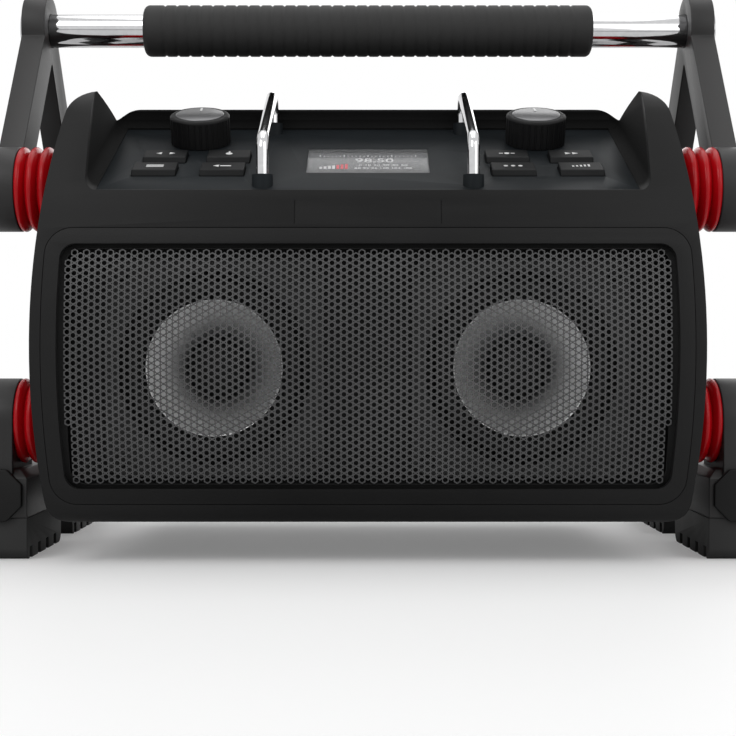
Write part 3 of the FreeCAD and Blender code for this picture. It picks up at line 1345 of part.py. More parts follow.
save("front_shell", front_shell())
save("rear_shell", rear_shell())
save("shell_gasket", shell_gasket())
save("housing_screws", housing_screws())
save("fascia_frame", fascia_frame())
save("grille", grille())
save("baffle", baffle())
save("speaker_screws", speaker_screws())
save("control_panel", control_panel())
save("display_lens", display_lens())
save("display_module", display_module())
save("control_board", control_board())
for key_name, (key_x, key_s) in key_places().items():
    save("key_" + key_name, key_cap(key_x, key_s))
for side, side_name in SIDE_NAMES.items():
    speaker_x = side * SPEAKER_X
    save("speaker_basket_" + side_name, speaker_basket(speaker_x))
    save("speaker_cone_" + side_name, speaker_cone(speaker_x))
    save("speaker_surround_" + side_name, speaker_surround(speaker_x))
    save("speaker_magnet_" + side_name, speaker_magnet(speaker_x))
    save("encoder_" + side_name, encoder(side))
    save("knob_" + side_name, knob(side))
    save("guard_bar_" + side_name, guard_bar(side))
    save("side_frame_" + side_name, side_frame(side))
    save("hub_bolts_" + side_name, hub_bolts(side))
    save("boots_" + side_name, [boot(side, foot) for foot in (FRONT_FOOT, REAR_FOOT)])
    for place, hub_y in HUB_ROWS.items():
        save("absorbers_" + side_name + "_" + place, [ribbed_absorber(side, hub_y, z) for z in HUB_HEIGHTS])
save("leg_caps", [leg_cap(side) for side in BOTH_SIDES])
save("handle_bar", handle_bar())
save("handle_grip", handle_grip())
save("battery_box", battery_box())
save("battery_cells", battery_cells())
save("battery_contacts", battery_contacts())
save("battery_door", battery_door())
save("hinge_pins", hinge_pins())
save("port_cover", port_cover())
save("socket_block", socket_block())
save("mains_inlet", mains_inlet())
save("amplifier_board", amplifier_board())
save("transformer", transformer())
save("antenna_base", antenna_base())
save("antenna_whip", antenna_whip())
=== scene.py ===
import bpy
import bmesh
import json
import math
from mathutils import Matrix, Vector


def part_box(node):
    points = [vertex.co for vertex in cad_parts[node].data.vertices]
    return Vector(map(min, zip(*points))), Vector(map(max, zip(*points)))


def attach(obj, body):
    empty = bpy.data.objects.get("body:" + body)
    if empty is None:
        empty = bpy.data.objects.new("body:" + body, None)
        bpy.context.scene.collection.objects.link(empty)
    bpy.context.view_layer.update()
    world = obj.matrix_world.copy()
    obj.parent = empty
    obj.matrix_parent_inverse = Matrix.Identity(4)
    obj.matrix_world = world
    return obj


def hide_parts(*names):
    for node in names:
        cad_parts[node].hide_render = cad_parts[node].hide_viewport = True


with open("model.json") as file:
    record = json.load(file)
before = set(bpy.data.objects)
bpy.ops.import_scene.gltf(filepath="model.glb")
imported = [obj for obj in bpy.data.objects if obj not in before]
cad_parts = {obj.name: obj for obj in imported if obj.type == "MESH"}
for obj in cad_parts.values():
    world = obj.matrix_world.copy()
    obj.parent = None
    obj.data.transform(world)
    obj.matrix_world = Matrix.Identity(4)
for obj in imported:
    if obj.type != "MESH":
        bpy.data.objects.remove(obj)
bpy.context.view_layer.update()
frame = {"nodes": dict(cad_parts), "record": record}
MM = 0.001
BOTH_SIDES = (-1, 1)
SIDE_NAMES = {-1: "left", 1: "right"}

# Sizes shared with the solids, in millimetres
FRONT_Y = -150.0
FRONT_BOW_R = 300.0
FRONT_BOW_Z = 127.0
SIDE_BOW_R = 1000.0
SIDE_BOW_Z = 129.0
OPENING_HALF = 178.8
OPENING_LOW = 44.7
OPENING_HIGH = 186.8
OPENING_CORNER_R = 9.0
GRILLE_RECESS = 4.6
GRILLE_T = 1.0
LIP_Z = 218.6
LIP_Y = FRONT_Y + FRONT_BOW_R - math.sqrt(FRONT_BOW_R ** 2 - (LIP_Z - FRONT_BOW_Z) ** 2)
DECK_Z = 285.0
PANEL_TILT = math.radians(25.0)
RECESS_HALF = 165.0
SPEAKER_X = 90.4
SPEAKER_Z = 115.0
PAD_FACE_X = 188.0
HANDLE_Z = 342.0

# Perforated sheet
HOLE_PITCH = 4.0
HOLE_R = 1.5
HOLE_SIDES = 8
SHEET_MARGIN_SIDE = 4.4
SHEET_MARGIN_LEVEL = 3.4
SHEET_MARGIN_CORNER = 1.2
CELL_WELD = 0.05
RIM_MARGIN = 2.6
RIM_LAP = 3.4
RIM_SINK = 2.0
RIM_T = 0.6
RIM_CORNER_STEPS = 8
RIM_LONG_EDGE = 60.0
RIM_CUTS = 11

# Loudspeakers: radii about the speaker's axis and depths along y
CONE_R = 41.0
CONE_FALL = 23.5
CONE_BULGE = 0.22
CONE_T = 0.8
CONE_RIM_Y = -127.0
CONE_THROAT_Y = -99.4
CONE_STEPS = 12
# Painted shade on the cone: full within the first radius below, gone past the second
CONE_SHADE_FULL_R = 16.0
CONE_SHADE_END_R = 36.0
DUST_CAP_R = 27.0
DUST_CAP_SINK = 20.0
DUST_CAP_EDGE_R = 18.6
DUST_CAP_EDGE_SINK = 2.0
ROLL_SEAM_R = 40.2
ROLL_MIDDLE_R = 47.0
ROLL_R = 6.0
ROLL_T = 0.6
ROLL_SHIFT = 0.4
ROLL_STEPS = 16
SURROUND_LIP_R = 54.0
SURROUND_OUTER_R = 57.0

# Absorbers: rounded ribs along x, counted from the housing's pad
BELLOWS_LENGTH = 25.0
BELLOWS_BORE_R = 4.3
BELLOWS_STEPS = 100
RIB_PITCH = 7.5
RIB_CREST = 23.0
RIB_ROOT_R = 20.6
RIB_SWELL = 5.4
RIB_FULLNESS = 0.55

# Grip on the handle
GRIP_HALF = 150.0
GRIP_R = 17.0
GRIP_BORE_R = 11.1
GRIP_EDGE_R = 4.0
GRIP_PLAIN_END = 2.0
GRIP_STEPS = 216
GROOVE_PITCH = 8.0
GROOVE_DEPTH = 0.9
GROOVE_EDGE = 0.55

# Keys, knobs and display, in the panel's frame: x across, s up the slope, h off the panel
KEY_ROWS = {
    35.5: ("menu", "back", "info", "preset"),
    61.5: ("source", "power", "light", "scan"),
}
KEY_WIDTH = 26.5
KEY_LENGTH = 19.0
KEY_PROUD = 3.0
KEY_SINK = 3.2
KEY_FRONT_SLOPE = 3.6
KEY_FRONT_LIP = 0.4
KEY_BEVEL = 0.7
KEY_BEVEL_ANGLE = 20.0
SIGN_T = 0.24
KNOB_S = 97.0
KNOB_TOP = 18.4
KNOB_INLAY_R = 15.2
POINTER = (0.0, 10.8, 1.4, 6.4)
POINTER_H = 0.36
LEVELS_S = 50.4
LEVELS_X = -29.0
LEVEL_PITCH = 2.6
LEVEL_WIDTH = 1.7
LEVEL_LOW = 3.6
LEVEL_RISE = 1.0
DISPLAY_MIDDLE = 58.0
DISPLAY_INK_H = -2.94
SCALE_S = DISPLAY_MIDDLE + 17.5
SCALE_MARKS = 25
SCALE_PITCH = 2.5
SCALE_LONG_EVERY = 6
SCALE_LONG = 3.4
SCALE_SHORT = 1.8
SCALE_WIDTH = 0.5

# Plain numbers on the screen: text, size, x and s
SCREEN_NUMBERS = {
    "screen_row_low": ("88 92 96 100 104 108", 4.0, 9.4, LEVELS_S),
    "screen_row_high": ("0 10 20 30 40 50", 4.4, 9.4, LEVELS_S + 6.0),
    "screen_reading": ("98.50", 11.0, 4.0, DISPLAY_MIDDLE + 6.0),
}
SCREEN_TEXT_T = 0.04

# Signs on the keys, about the middle of each: rounds are x, s, radius, sides and turn,
# bars are x, s, width and length
POINTS_LEFT = math.pi / 2
POINTS_RIGHT = -math.pi / 2
SIGN_ROUNDS = {
    "back": [(-3.6, 0.0, 2.3, 3, POINTS_LEFT)],
    "info": [(across, 0.0, 1.3, 24, 0.0) for across in (-4.4, 0.0, 4.4)],
    "source": [(-3.6, 0.0, 2.3, 3, POINTS_LEFT), (3.6, 0.0, 2.3, 3, POINTS_RIGHT)],
    "power": [(0.0, -0.7, 2.1, 24, 0.0)],
    "light": [(0.0, 0.0, 1.6, 24, 0.0)],
    "scan": [(across, 0.0, 2.3, 3, POINTS_RIGHT) for across in (-2.0, 2.4)],
}
SIGN_BARS = {
    "menu": [(0.0, along, 10.4, 0.9) for along in (-1.7, 0.0, 1.7)],
    "back": [(1.6, 0.0, 6.6, 1.5)],
    "preset": [((step - 2) * 2.4, 0.35 * step - 0.7, 1.2, 2.0 + 0.5 * step) for step in range(5)],
    "power": [(0.0, 2.7, 1.0, 2.0)],
    "light": [(across, 0.0, 2.4, 1.0) for across in (-3.6, 3.6)],
}

# Finishes: size of the moulded grain, of handling marks and of dust
GRAIN_MM = 0.7
HANDLING_MM = 60.0
DUST_MM = 25.0

# Doubles and flat faces of a copied node, and doubles of a turned piece
MERGE_MM = 0.002
FLAT_ANGLE = math.radians(0.5)
SPIN_MERGE_MM = 0.001

# Camera and stage
CAMERA_Y = -990.0
CAMERA_Z = 115.0
LENS = 71.85
FLOOR_HALF = 6.0
FLOOR_GLOW = 0.19
WORLD_LIGHT = 0.45
LIT_MIDDLE = (0.0, 0.0, 0.15)

# Lamps: power in watts, then size and place in metres
LAMPS = {
    "key_light": (14.0, 1.2, (-1.0, -1.6, 1.6)),
    "fill_light": (9.0, 1.4, (1.3, -1.4, 1.1)),
    "top_light": (10.0, 1.5, (0.0, 0.1, 1.9)),
    "back_light": (6.0, 1.2, (0.4, 1.8, 1.3)),
}

# The panel's frame, from millimetres to metres
PANEL_FRAME = (
    Matrix.Translation((0.0, LIP_Y * MM, LIP_Z * MM))
    @ Matrix.Rotation(PANEL_TILT, 4, "X")
    @ Matrix.Scale(MM, 4)
)


class Field:
    """A shader value. Python operators on it add Math nodes."""

    def __init__(self, paint, socket):
        self.paint = paint
        self.socket = socket

    def math(self, operation, *others):
        node = self.paint.node("ShaderNodeMath", {"operation": operation}, *([self] + list(others)))
        return Field(self.paint, node.outputs[0])

    def __add__(self, other):
        return self.math("ADD", other)

    def __radd__(self, other):
        return self.math("ADD", other)

    def __sub__(self, other):
        return self.math("SUBTRACT", other)

    def __rsub__(self, other):
        return self.math("SUBTRACT", other) * -1.0

    def __mul__(self, other):
        return self.math("MULTIPLY", other)

    def __rmul__(self, other):
        return self.math("MULTIPLY", other)

    def __truediv__(self, other):
        return self.math("DIVIDE", other)

    def __pow__(self, other):
        return self.math("POWER", other)

    def __abs__(self):
        return self.math("ABSOLUTE")

    def fade(self, start, end):
        """0 before start, 1 after end, smooth between."""
        settings = {"interpolation_type": "SMOOTHSTEP"}
        node = self.paint.node("ShaderNodeMapRange", settings, self, start, end, 0.0, 1.0)
        return Field(self.paint, node.outputs[0])


class Nodes:
    """Adds nodes to a material's tree or the world's."""

    def __init__(self, tree):
        self.tree = tree

    def node(self, kind, settings=None, *inputs):
        node = self.tree.nodes.new(kind)
        for name, value in (settings or {}).items():
            setattr(node, name, value)
        for index, value in enumerate(inputs):
            self.feed(node.inputs[index], value)
        return node

    def feed(self, socket, value):
        if value is None:
            return
        if isinstance(value, Field):
            self.tree.links.new(value.socket, socket)
        elif isinstance(value, bpy.types.NodeSocket):
            self.tree.links.new(value, socket)
        else:
            socket.default_value = value


class Paint(Nodes):
    """A material built from one Principled shader."""

    def __init__(self, name, **sockets):
        self.material = bpy.data.materials.new(name)
        self.material.use_nodes = True
        super().__init__(self.material.node_tree)
        self.shader = self.tree.nodes["Principled BSDF"]
        self.set(**sockets)

    def set(self, **sockets):
        """Set or link the shader's sockets; base_color stands for Base Color."""
        for name, value in sockets.items():
            label = name.replace("_", " ").title().replace("Ior", "IOR")
            if isinstance(value, (tuple, list)) and len(value) == 3:
                value = (*value, 1.0)
            self.feed(self.shader.inputs[label], value)

    def place(self):
        return self.node("ShaderNodeTexCoord").outputs["Object"]

    def axes(self):
        """The three object coordinates in millimetres."""
        split = self.node("ShaderNodeSeparateXYZ", None, self.place())
        return [Field(self, split.outputs[axis]) / MM for axis in range(3)]

    def noise(self, size_mm, detail=3.0, roughness=0.5):
        """Noise from 0 to 1 whose blotches are about size_mm across."""
        node = self.node("ShaderNodeTexNoise")
        self.feed(node.inputs["Vector"], self.place())
        self.feed(node.inputs["Scale"], 1000.0 / size_mm)
        self.feed(node.inputs["Detail"], detail)
        self.feed(node.inputs["Roughness"], roughness)
        return Field(self, node.outputs[0])

    def mix(self, factor, first, second):
        node = self.node("ShaderNodeMix", {"data_type": "RGBA"})
        self.feed(node.inputs[0], factor)
        for socket, colour in ((node.inputs[6], first), (node.inputs[7], second)):
            self.feed(socket, (*colour, 1.0) if isinstance(colour, tuple) and len(colour) == 3 else colour)
        return node.outputs[2]

    def bump(self, height, depth_mm):
        node = self.node("ShaderNodeBump")
        self.feed(node.inputs["Strength"], 1.0)
        self.feed(node.inputs["Distance"], depth_mm * MM)
        self.feed(node.inputs["Height"], height)
        self.feed(self.shader.inputs["Normal"], node.outputs[0])


def moulded_plastic(name, colour, roughness, grain_mm=GRAIN_MM, grain_depth=0.05, shine=0.3):
    """Spark-textured plastic with slight handling polish."""
    paint = Paint(name, specular_ior_level=shine)
    grain = paint.noise(grain_mm, 2.0)
    patches = paint.noise(HANDLING_MM, 4.0)
    lighter = tuple(min(1.0, channel * 1.35) for channel in colour)
    paint.set(base_color=paint.mix(patches.fade(0.35, 0.7), colour, lighter))
    paint.set(roughness=roughness + (patches - 0.5) * 0.12 + (grain - 0.5) * 0.1)
    paint.bump(grain, grain_depth)
    return paint.material


def front_plastic():
    """Shell plastic, darker towards the middle of the lip and lighter at the sides as painted light, with
    painted shade (near black, matt) on the control recess walls.
    """
    paint = Paint("front_plastic", specular_ior_level=0.13)
    x, y, z = paint.axes()
    grain = paint.noise(GRAIN_MM, 2.0)
    patches = paint.noise(HANDLING_MM, 4.0)
    across = abs(x)
    bow = FRONT_Y + FRONT_BOW_R - (FRONT_BOW_R ** 2 - (z - FRONT_BOW_Z) ** 2.0) ** 0.5
    # Painted shade: this mask marks the control recess walls behind the lip, between the cheeks, under the
    # deck and above the lip
    behind_lip = (y - bow).fade(2.5, 8.0)
    between_cheeks = (RECESS_HALF + 1.2 - across).fade(0.0, 0.8)
    under_deck = (DECK_Z - 0.9 - z).fade(0.0, 0.6)
    above_lip = (z - LIP_Z).fade(0.0, 1.0)
    inside = behind_lip * between_cheeks * under_deck * above_lip
    body = paint.mix(patches.fade(0.35, 0.7), (0.0050, 0.0050, 0.0051), (0.0070, 0.0070, 0.0071))
    # Painted light: the front is painted lighter towards its sides and darker in the middle, standing in for
    # how the light falls on it
    body = paint.mix(across.fade(30.0, 190.0), body, (0.0115, 0.0115, 0.0116))
    # Painted shade: where the mask is on, the recess walls are painted near black (0.002)
    paint.set(base_color=paint.mix(inside, body, (0.002, 0.002, 0.002)))
    paint.set(roughness=0.52 + inside * 0.3 + (patches - 0.5) * 0.12 + (grain - 0.5) * 0.1)
    paint.bump(grain, 0.05)
    return paint.material


def plain_metal(name, colour, roughness, brushed_mm=0.4):
    """Metal with faint uneven scratches."""
    paint = Paint(name, metallic=1.0)
    scratches = paint.noise(brushed_mm, 2.0)
    paint.set(base_color=paint.mix(scratches, colour, tuple(channel * 0.8 for channel in colour)))
    paint.set(roughness=roughness + (scratches - 0.5) * 0.1)
    return paint.material


def rubber(name, colour, roughness, grain_mm=0.9, grain_depth=0.03, shine=0.25):
    """Matt rubber with a trace of dust."""
    paint = Paint(name, specular_ior_level=shine)
    grain = paint.noise(grain_mm, 3.0)
    dust = paint.noise(DUST_MM, 5.0, 0.6)
    dusty = tuple(channel * 0.8 + 0.006 for channel in colour)
    paint.set(base_color=paint.mix(dust.fade(0.5, 0.75) * 0.6, colour, dusty))
    paint.set(roughness=roughness + (dust - 0.5) * 0.15)
    paint.bump(grain, grain_depth)
    return paint.material


def cone_paper(name, side):
    """Silver-coated pulp, bright at the rim and darker towards the middle, where painted shade stands in for
    the shadow inside the deep cone.
    """
    paint = Paint(name, metallic=1.0)
    x, y, z = paint.axes()
    reach = ((x - side * SPEAKER_X) ** 2.0 + (z - SPEAKER_Z) ** 2.0) ** 0.5
    fibres = paint.noise(1.2, 4.0, 0.7)
    pale = paint.mix(fibres, (1.0, 1.0, 1.0), (0.94, 0.94, 0.95))
    # Painted shade: the near black colour towards the cone's middle
    dark = paint.mix(fibres, (0.06, 0.06, 0.062), (0.04, 0.04, 0.042))
    paint.set(base_color=paint.mix(reach.fade(CONE_SHADE_FULL_R, CONE_SHADE_END_R), dark, pale))
    paint.set(roughness=0.30 + (fibres - 0.5) * 0.12)
    paint.bump(fibres, 0.04)
    return paint.material


def display_picture():
    """Backlit screen: a grey glow, a little brighter at its front edge."""
    paint = Paint("display_glow", base_color=(0.02, 0.02, 0.022), roughness=0.2, emission_strength=1.0)
    x, y, z = paint.axes()
    film = paint.noise(9.0, 2.0)
    glow = paint.mix(z.fade(231.0, 236.5), (0.085, 0.085, 0.088), (0.045, 0.045, 0.047))
    glow = paint.mix(film * 0.15, glow, (0.10, 0.10, 0.104))
    paint.set(emission_color=glow)
    return paint.material


def display_ink(name, colour):
    """Lit mark on the screen."""
    paint = Paint(name, base_color=(0.02, 0.02, 0.02), roughness=0.4, emission_strength=1.0)
    dots = paint.noise(0.5, 1.0)
    paint.set(emission_color=paint.mix(dots, colour, tuple(channel * 0.8 for channel in colour)))
    return paint.material


def clear_window():
    """Clear plastic with slight smudges."""
    paint = Paint("clear_window", base_color=(0.75, 0.77, 0.78), alpha=0.08, specular_ior_level=0.12)
    smudge = paint.noise(18.0, 4.0)
    paint.set(roughness=0.03 + smudge * 0.05)
    return paint.material


MATERIALS = {
    "shell": moulded_plastic("shell_plastic", (0.009, 0.009, 0.0091), 0.52, shine=0.18),
    "side_frame": moulded_plastic("frame_plastic", (0.015, 0.0145, 0.0146), 0.48, 0.8),
    "panel": moulded_plastic("panel_plastic", (0.0080, 0.0098, 0.0112), 0.50, 0.5, 0.02, 0.07),
    "inner_plastic": moulded_plastic("inner_plastic", (0.004, 0.004, 0.004), 0.6, shine=0.2),
    "baffle": moulded_plastic("baffle_board", (0.012, 0.012, 0.012), 0.7, 1.5, shine=0.2),
    "basket": moulded_plastic("basket_enamel", (0.026, 0.026, 0.026), 0.5, 1.0, shine=0.3),
    "grille": moulded_plastic("grille_coat", (0.050, 0.050, 0.051), 0.40, 0.35, 0.02, 0.5),
    "key": rubber("key_rubber", (0.0050, 0.0054, 0.0057), 0.5, 0.5, 0.015, 0.09),
    "knob": rubber("knob_rubber", (0.006, 0.006, 0.0063), 0.5, shine=0.15),
    "black_rubber": rubber("boot_rubber", (0.022, 0.022, 0.022), 0.62),
    "red_rubber": rubber("absorber_rubber", (0.40, 0.0015, 0.005), 0.24, 1.2, 0.01, 0.22),
    "chrome": plain_metal("bright_chrome", (0.66, 0.66, 0.67), 0.08, 3.0),
    "steel": plain_metal("zinc_steel", (0.55, 0.55, 0.56), 0.32),
    "magnet": plain_metal("magnet_iron", (0.12, 0.12, 0.12), 0.5),
    "transformer": plain_metal("core_iron", (0.25, 0.24, 0.23), 0.5),
    "cell": plain_metal("cell_can", (0.55, 0.42, 0.18), 0.3),
    "circuit_board": moulded_plastic("board_laminate", (0.01, 0.09, 0.035), 0.4),
    "lens": clear_window(),
}
FRONT = front_plastic()
SURROUND = rubber("surround_rubber", (0.006, 0.006, 0.006), 0.55)
SCREW_BLACK = moulded_plastic("blackened_screw", (0.008, 0.008, 0.008), 0.45, 0.6, 0.01)
BOLT_BLACK = plain_metal("blackened_bolt", (0.10, 0.10, 0.105), 0.38, 1.0)
SIGN_WHITE = moulded_plastic("sign_white", (0.62, 0.62, 0.62), 0.5, 0.4, 0.005)
INLAY = plain_metal("knob_inlay", (0.16, 0.16, 0.165), 0.34, 0.3)
SCREEN = display_picture()
SCREEN_WHITE = display_ink("screen_white", (0.52, 0.52, 0.53))
SCREEN_RED = display_ink("screen_red", (0.55, 0.03, 0.05))
NODE_FINISHES = {
    "front_shell": FRONT,
    "fascia_frame": FRONT,
    "speaker_screws": SCREW_BLACK,
    "display_module": SCREEN,
    "hub_bolts_left": BOLT_BLACK,
    "hub_bolts_right": BOLT_BLACK,
}

# Width of the rounded edges of the nodes that keep their shape
ROUNDED_EDGES = {
    "front_shell": 0.8,
    "rear_shell": 0.8,
    "fascia_frame": 0.5,
    "control_panel": 0.3,
    "battery_door": 0.6,
    "leg_caps": 0.8,
    "handle_bar": 1.0,
}
FRAME_EDGE = 3.0
FRAME_EDGE_STEPS = 4
BOOT_EDGE = 1.5


def body_of(node):
    """The body that carries a CAD node."""
    return next(name for name, nodes in frame["record"]["behaviour"]["bodies"].items() if node in nodes)


def slot_of(node):
    """The record's finish of a CAD node."""
    return next(part["material_slot"] for part in frame["record"]["subparts"] if part["node"] == node)


def finish_of(node):
    """The material of a CAD node."""
    return NODE_FINISHES.get(node, MATERIALS[slot_of(node)])


def finish_piece(piece, material, body, replaces=()):
    """Give a piece its finish, hide the nodes it stands for and let it ride."""
    piece.data.materials.clear()
    piece.data.materials.append(material)
    if replaces:
        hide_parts(*replaces)
    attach(piece, body)
    return piece


def piece_from(name, mesh_data):
    """A new object from a bmesh, with smooth faces."""
    bmesh.ops.recalc_face_normals(mesh_data, faces=mesh_data.faces)
    for face in mesh_data.faces:
        face.smooth = True
    mesh = bpy.data.meshes.new(name)
    mesh_data.to_mesh(mesh)
    mesh_data.free()
    piece = bpy.data.objects.new(name, mesh)
    bpy.context.scene.collection.objects.link(piece)
    return piece


def flat_faced(piece):
    for polygon in piece.data.polygons:
        polygon.use_smooth = False
    return piece


def add_bevel(piece, width_mm, segments=3, angle=30.0):
    bevel = piece.modifiers.new("edges", "BEVEL")
    bevel.width = width_mm * MM
    bevel.segments = segments
    bevel.limit_method = "ANGLE"
    bevel.angle_limit = math.radians(angle)
    bevel.harden_normals = True


def merged_copy(node):
    """A node's mesh with its doubles merged and its flat faces joined."""
    mesh_data = bmesh.new()
    mesh_data.from_mesh(frame["nodes"][node].data)
    verts, edges = mesh_data.verts, mesh_data.edges
    bmesh.ops.remove_doubles(mesh_data, verts=verts, dist=MERGE_MM * MM)
    bmesh.ops.dissolve_limit(mesh_data, angle_limit=FLAT_ANGLE, verts=verts, edges=edges)
    return mesh_data


def softened(node, width_mm, segments=3):
    """A copy of a CAD node with its edges rounded."""
    piece = piece_from(node + "_finished", merged_copy(node))
    add_bevel(piece, width_mm, segments)
    return finish_piece(piece, finish_of(node), body_of(node), (node,))


def front_bow(z_mm, depth_mm=0.0):
    """Depth of the bowed front at a height, in millimetres."""
    radius = FRONT_BOW_R - depth_mm
    return FRONT_Y + FRONT_BOW_R - math.sqrt(radius ** 2 - (z_mm - FRONT_BOW_Z) ** 2)


def side_bow(z_mm, half_mm):
    """Half width of a bowed outline at a height."""
    return half_mm - SIDE_BOW_R + math.sqrt(SIDE_BOW_R ** 2 - (z_mm - SIDE_BOW_Z) ** 2)


def perforated_grille():
    """Staggered round holes in a bowed steel sheet."""
    column = HOLE_PITCH * math.sqrt(3) / 2
    columns = 2 * int((OPENING_HALF + HOLE_PITCH) // (2 * column)) + 2
    rows = int((OPENING_HIGH - OPENING_LOW + 2 * HOLE_PITCH) // HOLE_PITCH) + 1
    cells = bmesh.new()
    for place in ((0.0, 0.0), (column, HOLE_PITCH / 2)):
        turn = Matrix.Translation((place[0], 0, place[1])) @ Matrix.Rotation(math.pi / 2, 4, "X")
        web = bmesh.ops.create_circle(cells, segments=6, radius=HOLE_PITCH / math.sqrt(3), matrix=turn)
        twist = Matrix.Rotation(math.pi / HOLE_SIDES, 4, "Z")
        hole = bmesh.ops.create_circle(cells, segments=HOLE_SIDES, radius=HOLE_R, matrix=turn @ twist)
        loops = {edge for vert in web["verts"] + hole["verts"] for edge in vert.link_edges}
        bmesh.ops.bridge_loops(cells, edges=list(loops))
    middle = (OPENING_LOW + OPENING_HIGH) / 2
    start = Vector((-(columns - 1) * column, 0, middle - (rows - 1) * HOLE_PITCH / 2))
    bmesh.ops.translate(cells, verts=cells.verts, vec=start)
    piece = piece_from("grille_sheet", cells)
    for count, step in ((columns, (2 * column, 0, 0)), (rows, (0, 0, HOLE_PITCH))):
        array = piece.modifiers.new("repeat", "ARRAY")
        array.count = count
        array.use_relative_offset = False
        array.use_constant_offset = True
        array.constant_offset_displace = step
        array.use_merge_vertices = False
    graph = bpy.context.evaluated_depsgraph_get()
    repeated = bpy.data.meshes.new_from_object(piece.evaluated_get(graph))
    bpy.data.objects.remove(piece)
    sheet = bmesh.new()
    sheet.from_mesh(repeated)
    trim_cells(sheet, start, column)
    bmesh.ops.remove_doubles(sheet, verts=sheet.verts, dist=CELL_WELD)
    for vert in sheet.verts:
        vert.co.y = front_bow(vert.co.z, GRILLE_RECESS)
    bmesh.ops.scale(sheet, vec=(MM, MM, MM), verts=sheet.verts)
    piece = flat_faced(piece_from("grille_sheet", sheet))
    wall = piece.modifiers.new("sheet", "SOLIDIFY")
    wall.thickness = GRILLE_T * MM
    wall.offset = -1.0 if piece.data.polygons[0].normal.y < 0 else 1.0
    return finish_piece(piece, MATERIALS["grille"], "housing", ("grille",))


def in_corner(x, z, margin):
    """Whether a point lies past the opening's round corners, seen from the front."""
    radius = OPENING_CORNER_R
    inner_x = side_bow(z, OPENING_HALF) - margin - radius
    low, high = OPENING_LOW + margin + radius, OPENING_HIGH - margin - radius
    out_x, out_z = abs(x) - inner_x, max(low - z, z - high)
    return out_x > 0 and out_z > 0 and math.hypot(out_x, out_z) > radius


def trim_cells(sheet, start, column):
    """Keep the whole cells whose middle lies well inside the opening."""
    doomed = []
    for face in sheet.faces:
        centre = face.calc_center_median()
        steps = round((centre.x - start.x) / column)
        best = None
        for index in (steps - 1, steps, steps + 1):
            shift = HOLE_PITCH / 2 if index % 2 else 0.0
            z = start.z + shift + round((centre.z - start.z - shift) / HOLE_PITCH) * HOLE_PITCH
            x = start.x + index * column
            gap = math.hypot(centre.x - x, centre.z - z)
            if best is None or gap < best[0]:
                best = (gap, x, z)
        gap, x, z = best
        level = OPENING_LOW + SHEET_MARGIN_LEVEL < z < OPENING_HIGH - SHEET_MARGIN_LEVEL
        beside = abs(x) > side_bow(z, OPENING_HALF) - SHEET_MARGIN_SIDE
        if not level or beside or in_corner(x, z, SHEET_MARGIN_CORNER):
            doomed.append(face)
    bmesh.ops.delete(sheet, geom=doomed, context="FACES")


def grille_rim():
    """Near-black folded rim that carries the sheet behind the fascia's opening; its near-black colour is
    painted shade for the dark gap around the grille.
    """
    rim = bmesh.new()
    loops = []
    for margin, depth in ((RIM_MARGIN, GRILLE_T), (RIM_MARGIN, RIM_SINK), (-RIM_LAP, RIM_SINK)):
        verts = []
        half_margin = margin + OPENING_CORNER_R
        corners = ((1, 1, 0), (-1, 1, 90), (-1, -1, 180), (1, -1, 270))
        for side, up, first in corners:
            centre_z = OPENING_HIGH - half_margin if up > 0 else OPENING_LOW + half_margin
            for step in range(RIM_CORNER_STEPS + 1):
                angle = math.radians(first + 90 * step / RIM_CORNER_STEPS)
                z = centre_z + OPENING_CORNER_R * math.sin(angle)
                centre_x = side * (side_bow(z, OPENING_HALF) - half_margin)
                x = centre_x + OPENING_CORNER_R * math.cos(angle)
                verts.append(rim.verts.new((x, front_bow(z, GRILLE_RECESS + depth), z)))
        loops.append([rim.edges.new(pair) for pair in zip(verts, verts[1:] + verts[:1])])
    for first, second in zip(loops, loops[1:]):
        bmesh.ops.bridge_loops(rim, edges=first + second)
    long_edges = [edge for edge in rim.edges if edge.calc_length() > RIM_LONG_EDGE]
    bmesh.ops.subdivide_edges(rim, edges=long_edges, cuts=RIM_CUTS)
    for vert in rim.verts:
        x, y, z = vert.co
        bows = {sink: front_bow(z, GRILLE_RECESS + sink) for sink in (GRILLE_T, RIM_SINK)}
        nearest = min(bows.values(), key=lambda bow: abs(bow - y))
        vert.co.y = nearest if abs(x) < side_bow(z, OPENING_HALF) else bows[RIM_SINK]
    bmesh.ops.scale(rim, vec=(MM, MM, MM), verts=rim.verts)
    piece = flat_faced(piece_from("grille_rim", rim))
    wall = piece.modifiers.new("rim_wall", "SOLIDIFY")
    wall.thickness = RIM_T * MM
    wall.offset = 0.0
    # Painted shade: the near-black finish stands for the shadow in the gap around the grille
    return finish_piece(piece, MATERIALS["inner_plastic"], "housing")


def spun(name, profile, centre, material, body, replaces=(), steps=96, axis=(0, 1, 0)):
    """Turned piece: (radius, along) points in millimetres spun about an axis through centre."""
    turned = bmesh.new()
    axis = Vector(axis)
    out = Vector((1, 0, 0)) if abs(axis.x) < 0.5 else Vector((0, 0, 1))
    centre = Vector(centre)
    verts = [turned.verts.new((centre + out * radius + axis * along) * MM) for radius, along in profile]
    edges = [turned.edges.new(pair) for pair in zip(verts, verts[1:])]
    bmesh.ops.spin(turned, geom=verts + edges, cent=centre * MM, axis=axis, angle=2 * math.pi, steps=steps,
                   use_merge=True)
    bmesh.ops.remove_doubles(turned, verts=turned.verts, dist=SPIN_MERGE_MM * MM)
    piece = piece_from(name, turned)
    return finish_piece(piece, material, body, replaces)


def arc_points(centre, radius, start, end, steps):
    """Points of an arc in (radius, along) space, angles in degrees."""
    points = []
    for step in range(steps + 1):
        angle = math.radians(start + (end - start) * step / steps)
        points.append((centre[0] + radius * math.cos(angle), centre[1] + radius * math.sin(angle)))
    return points


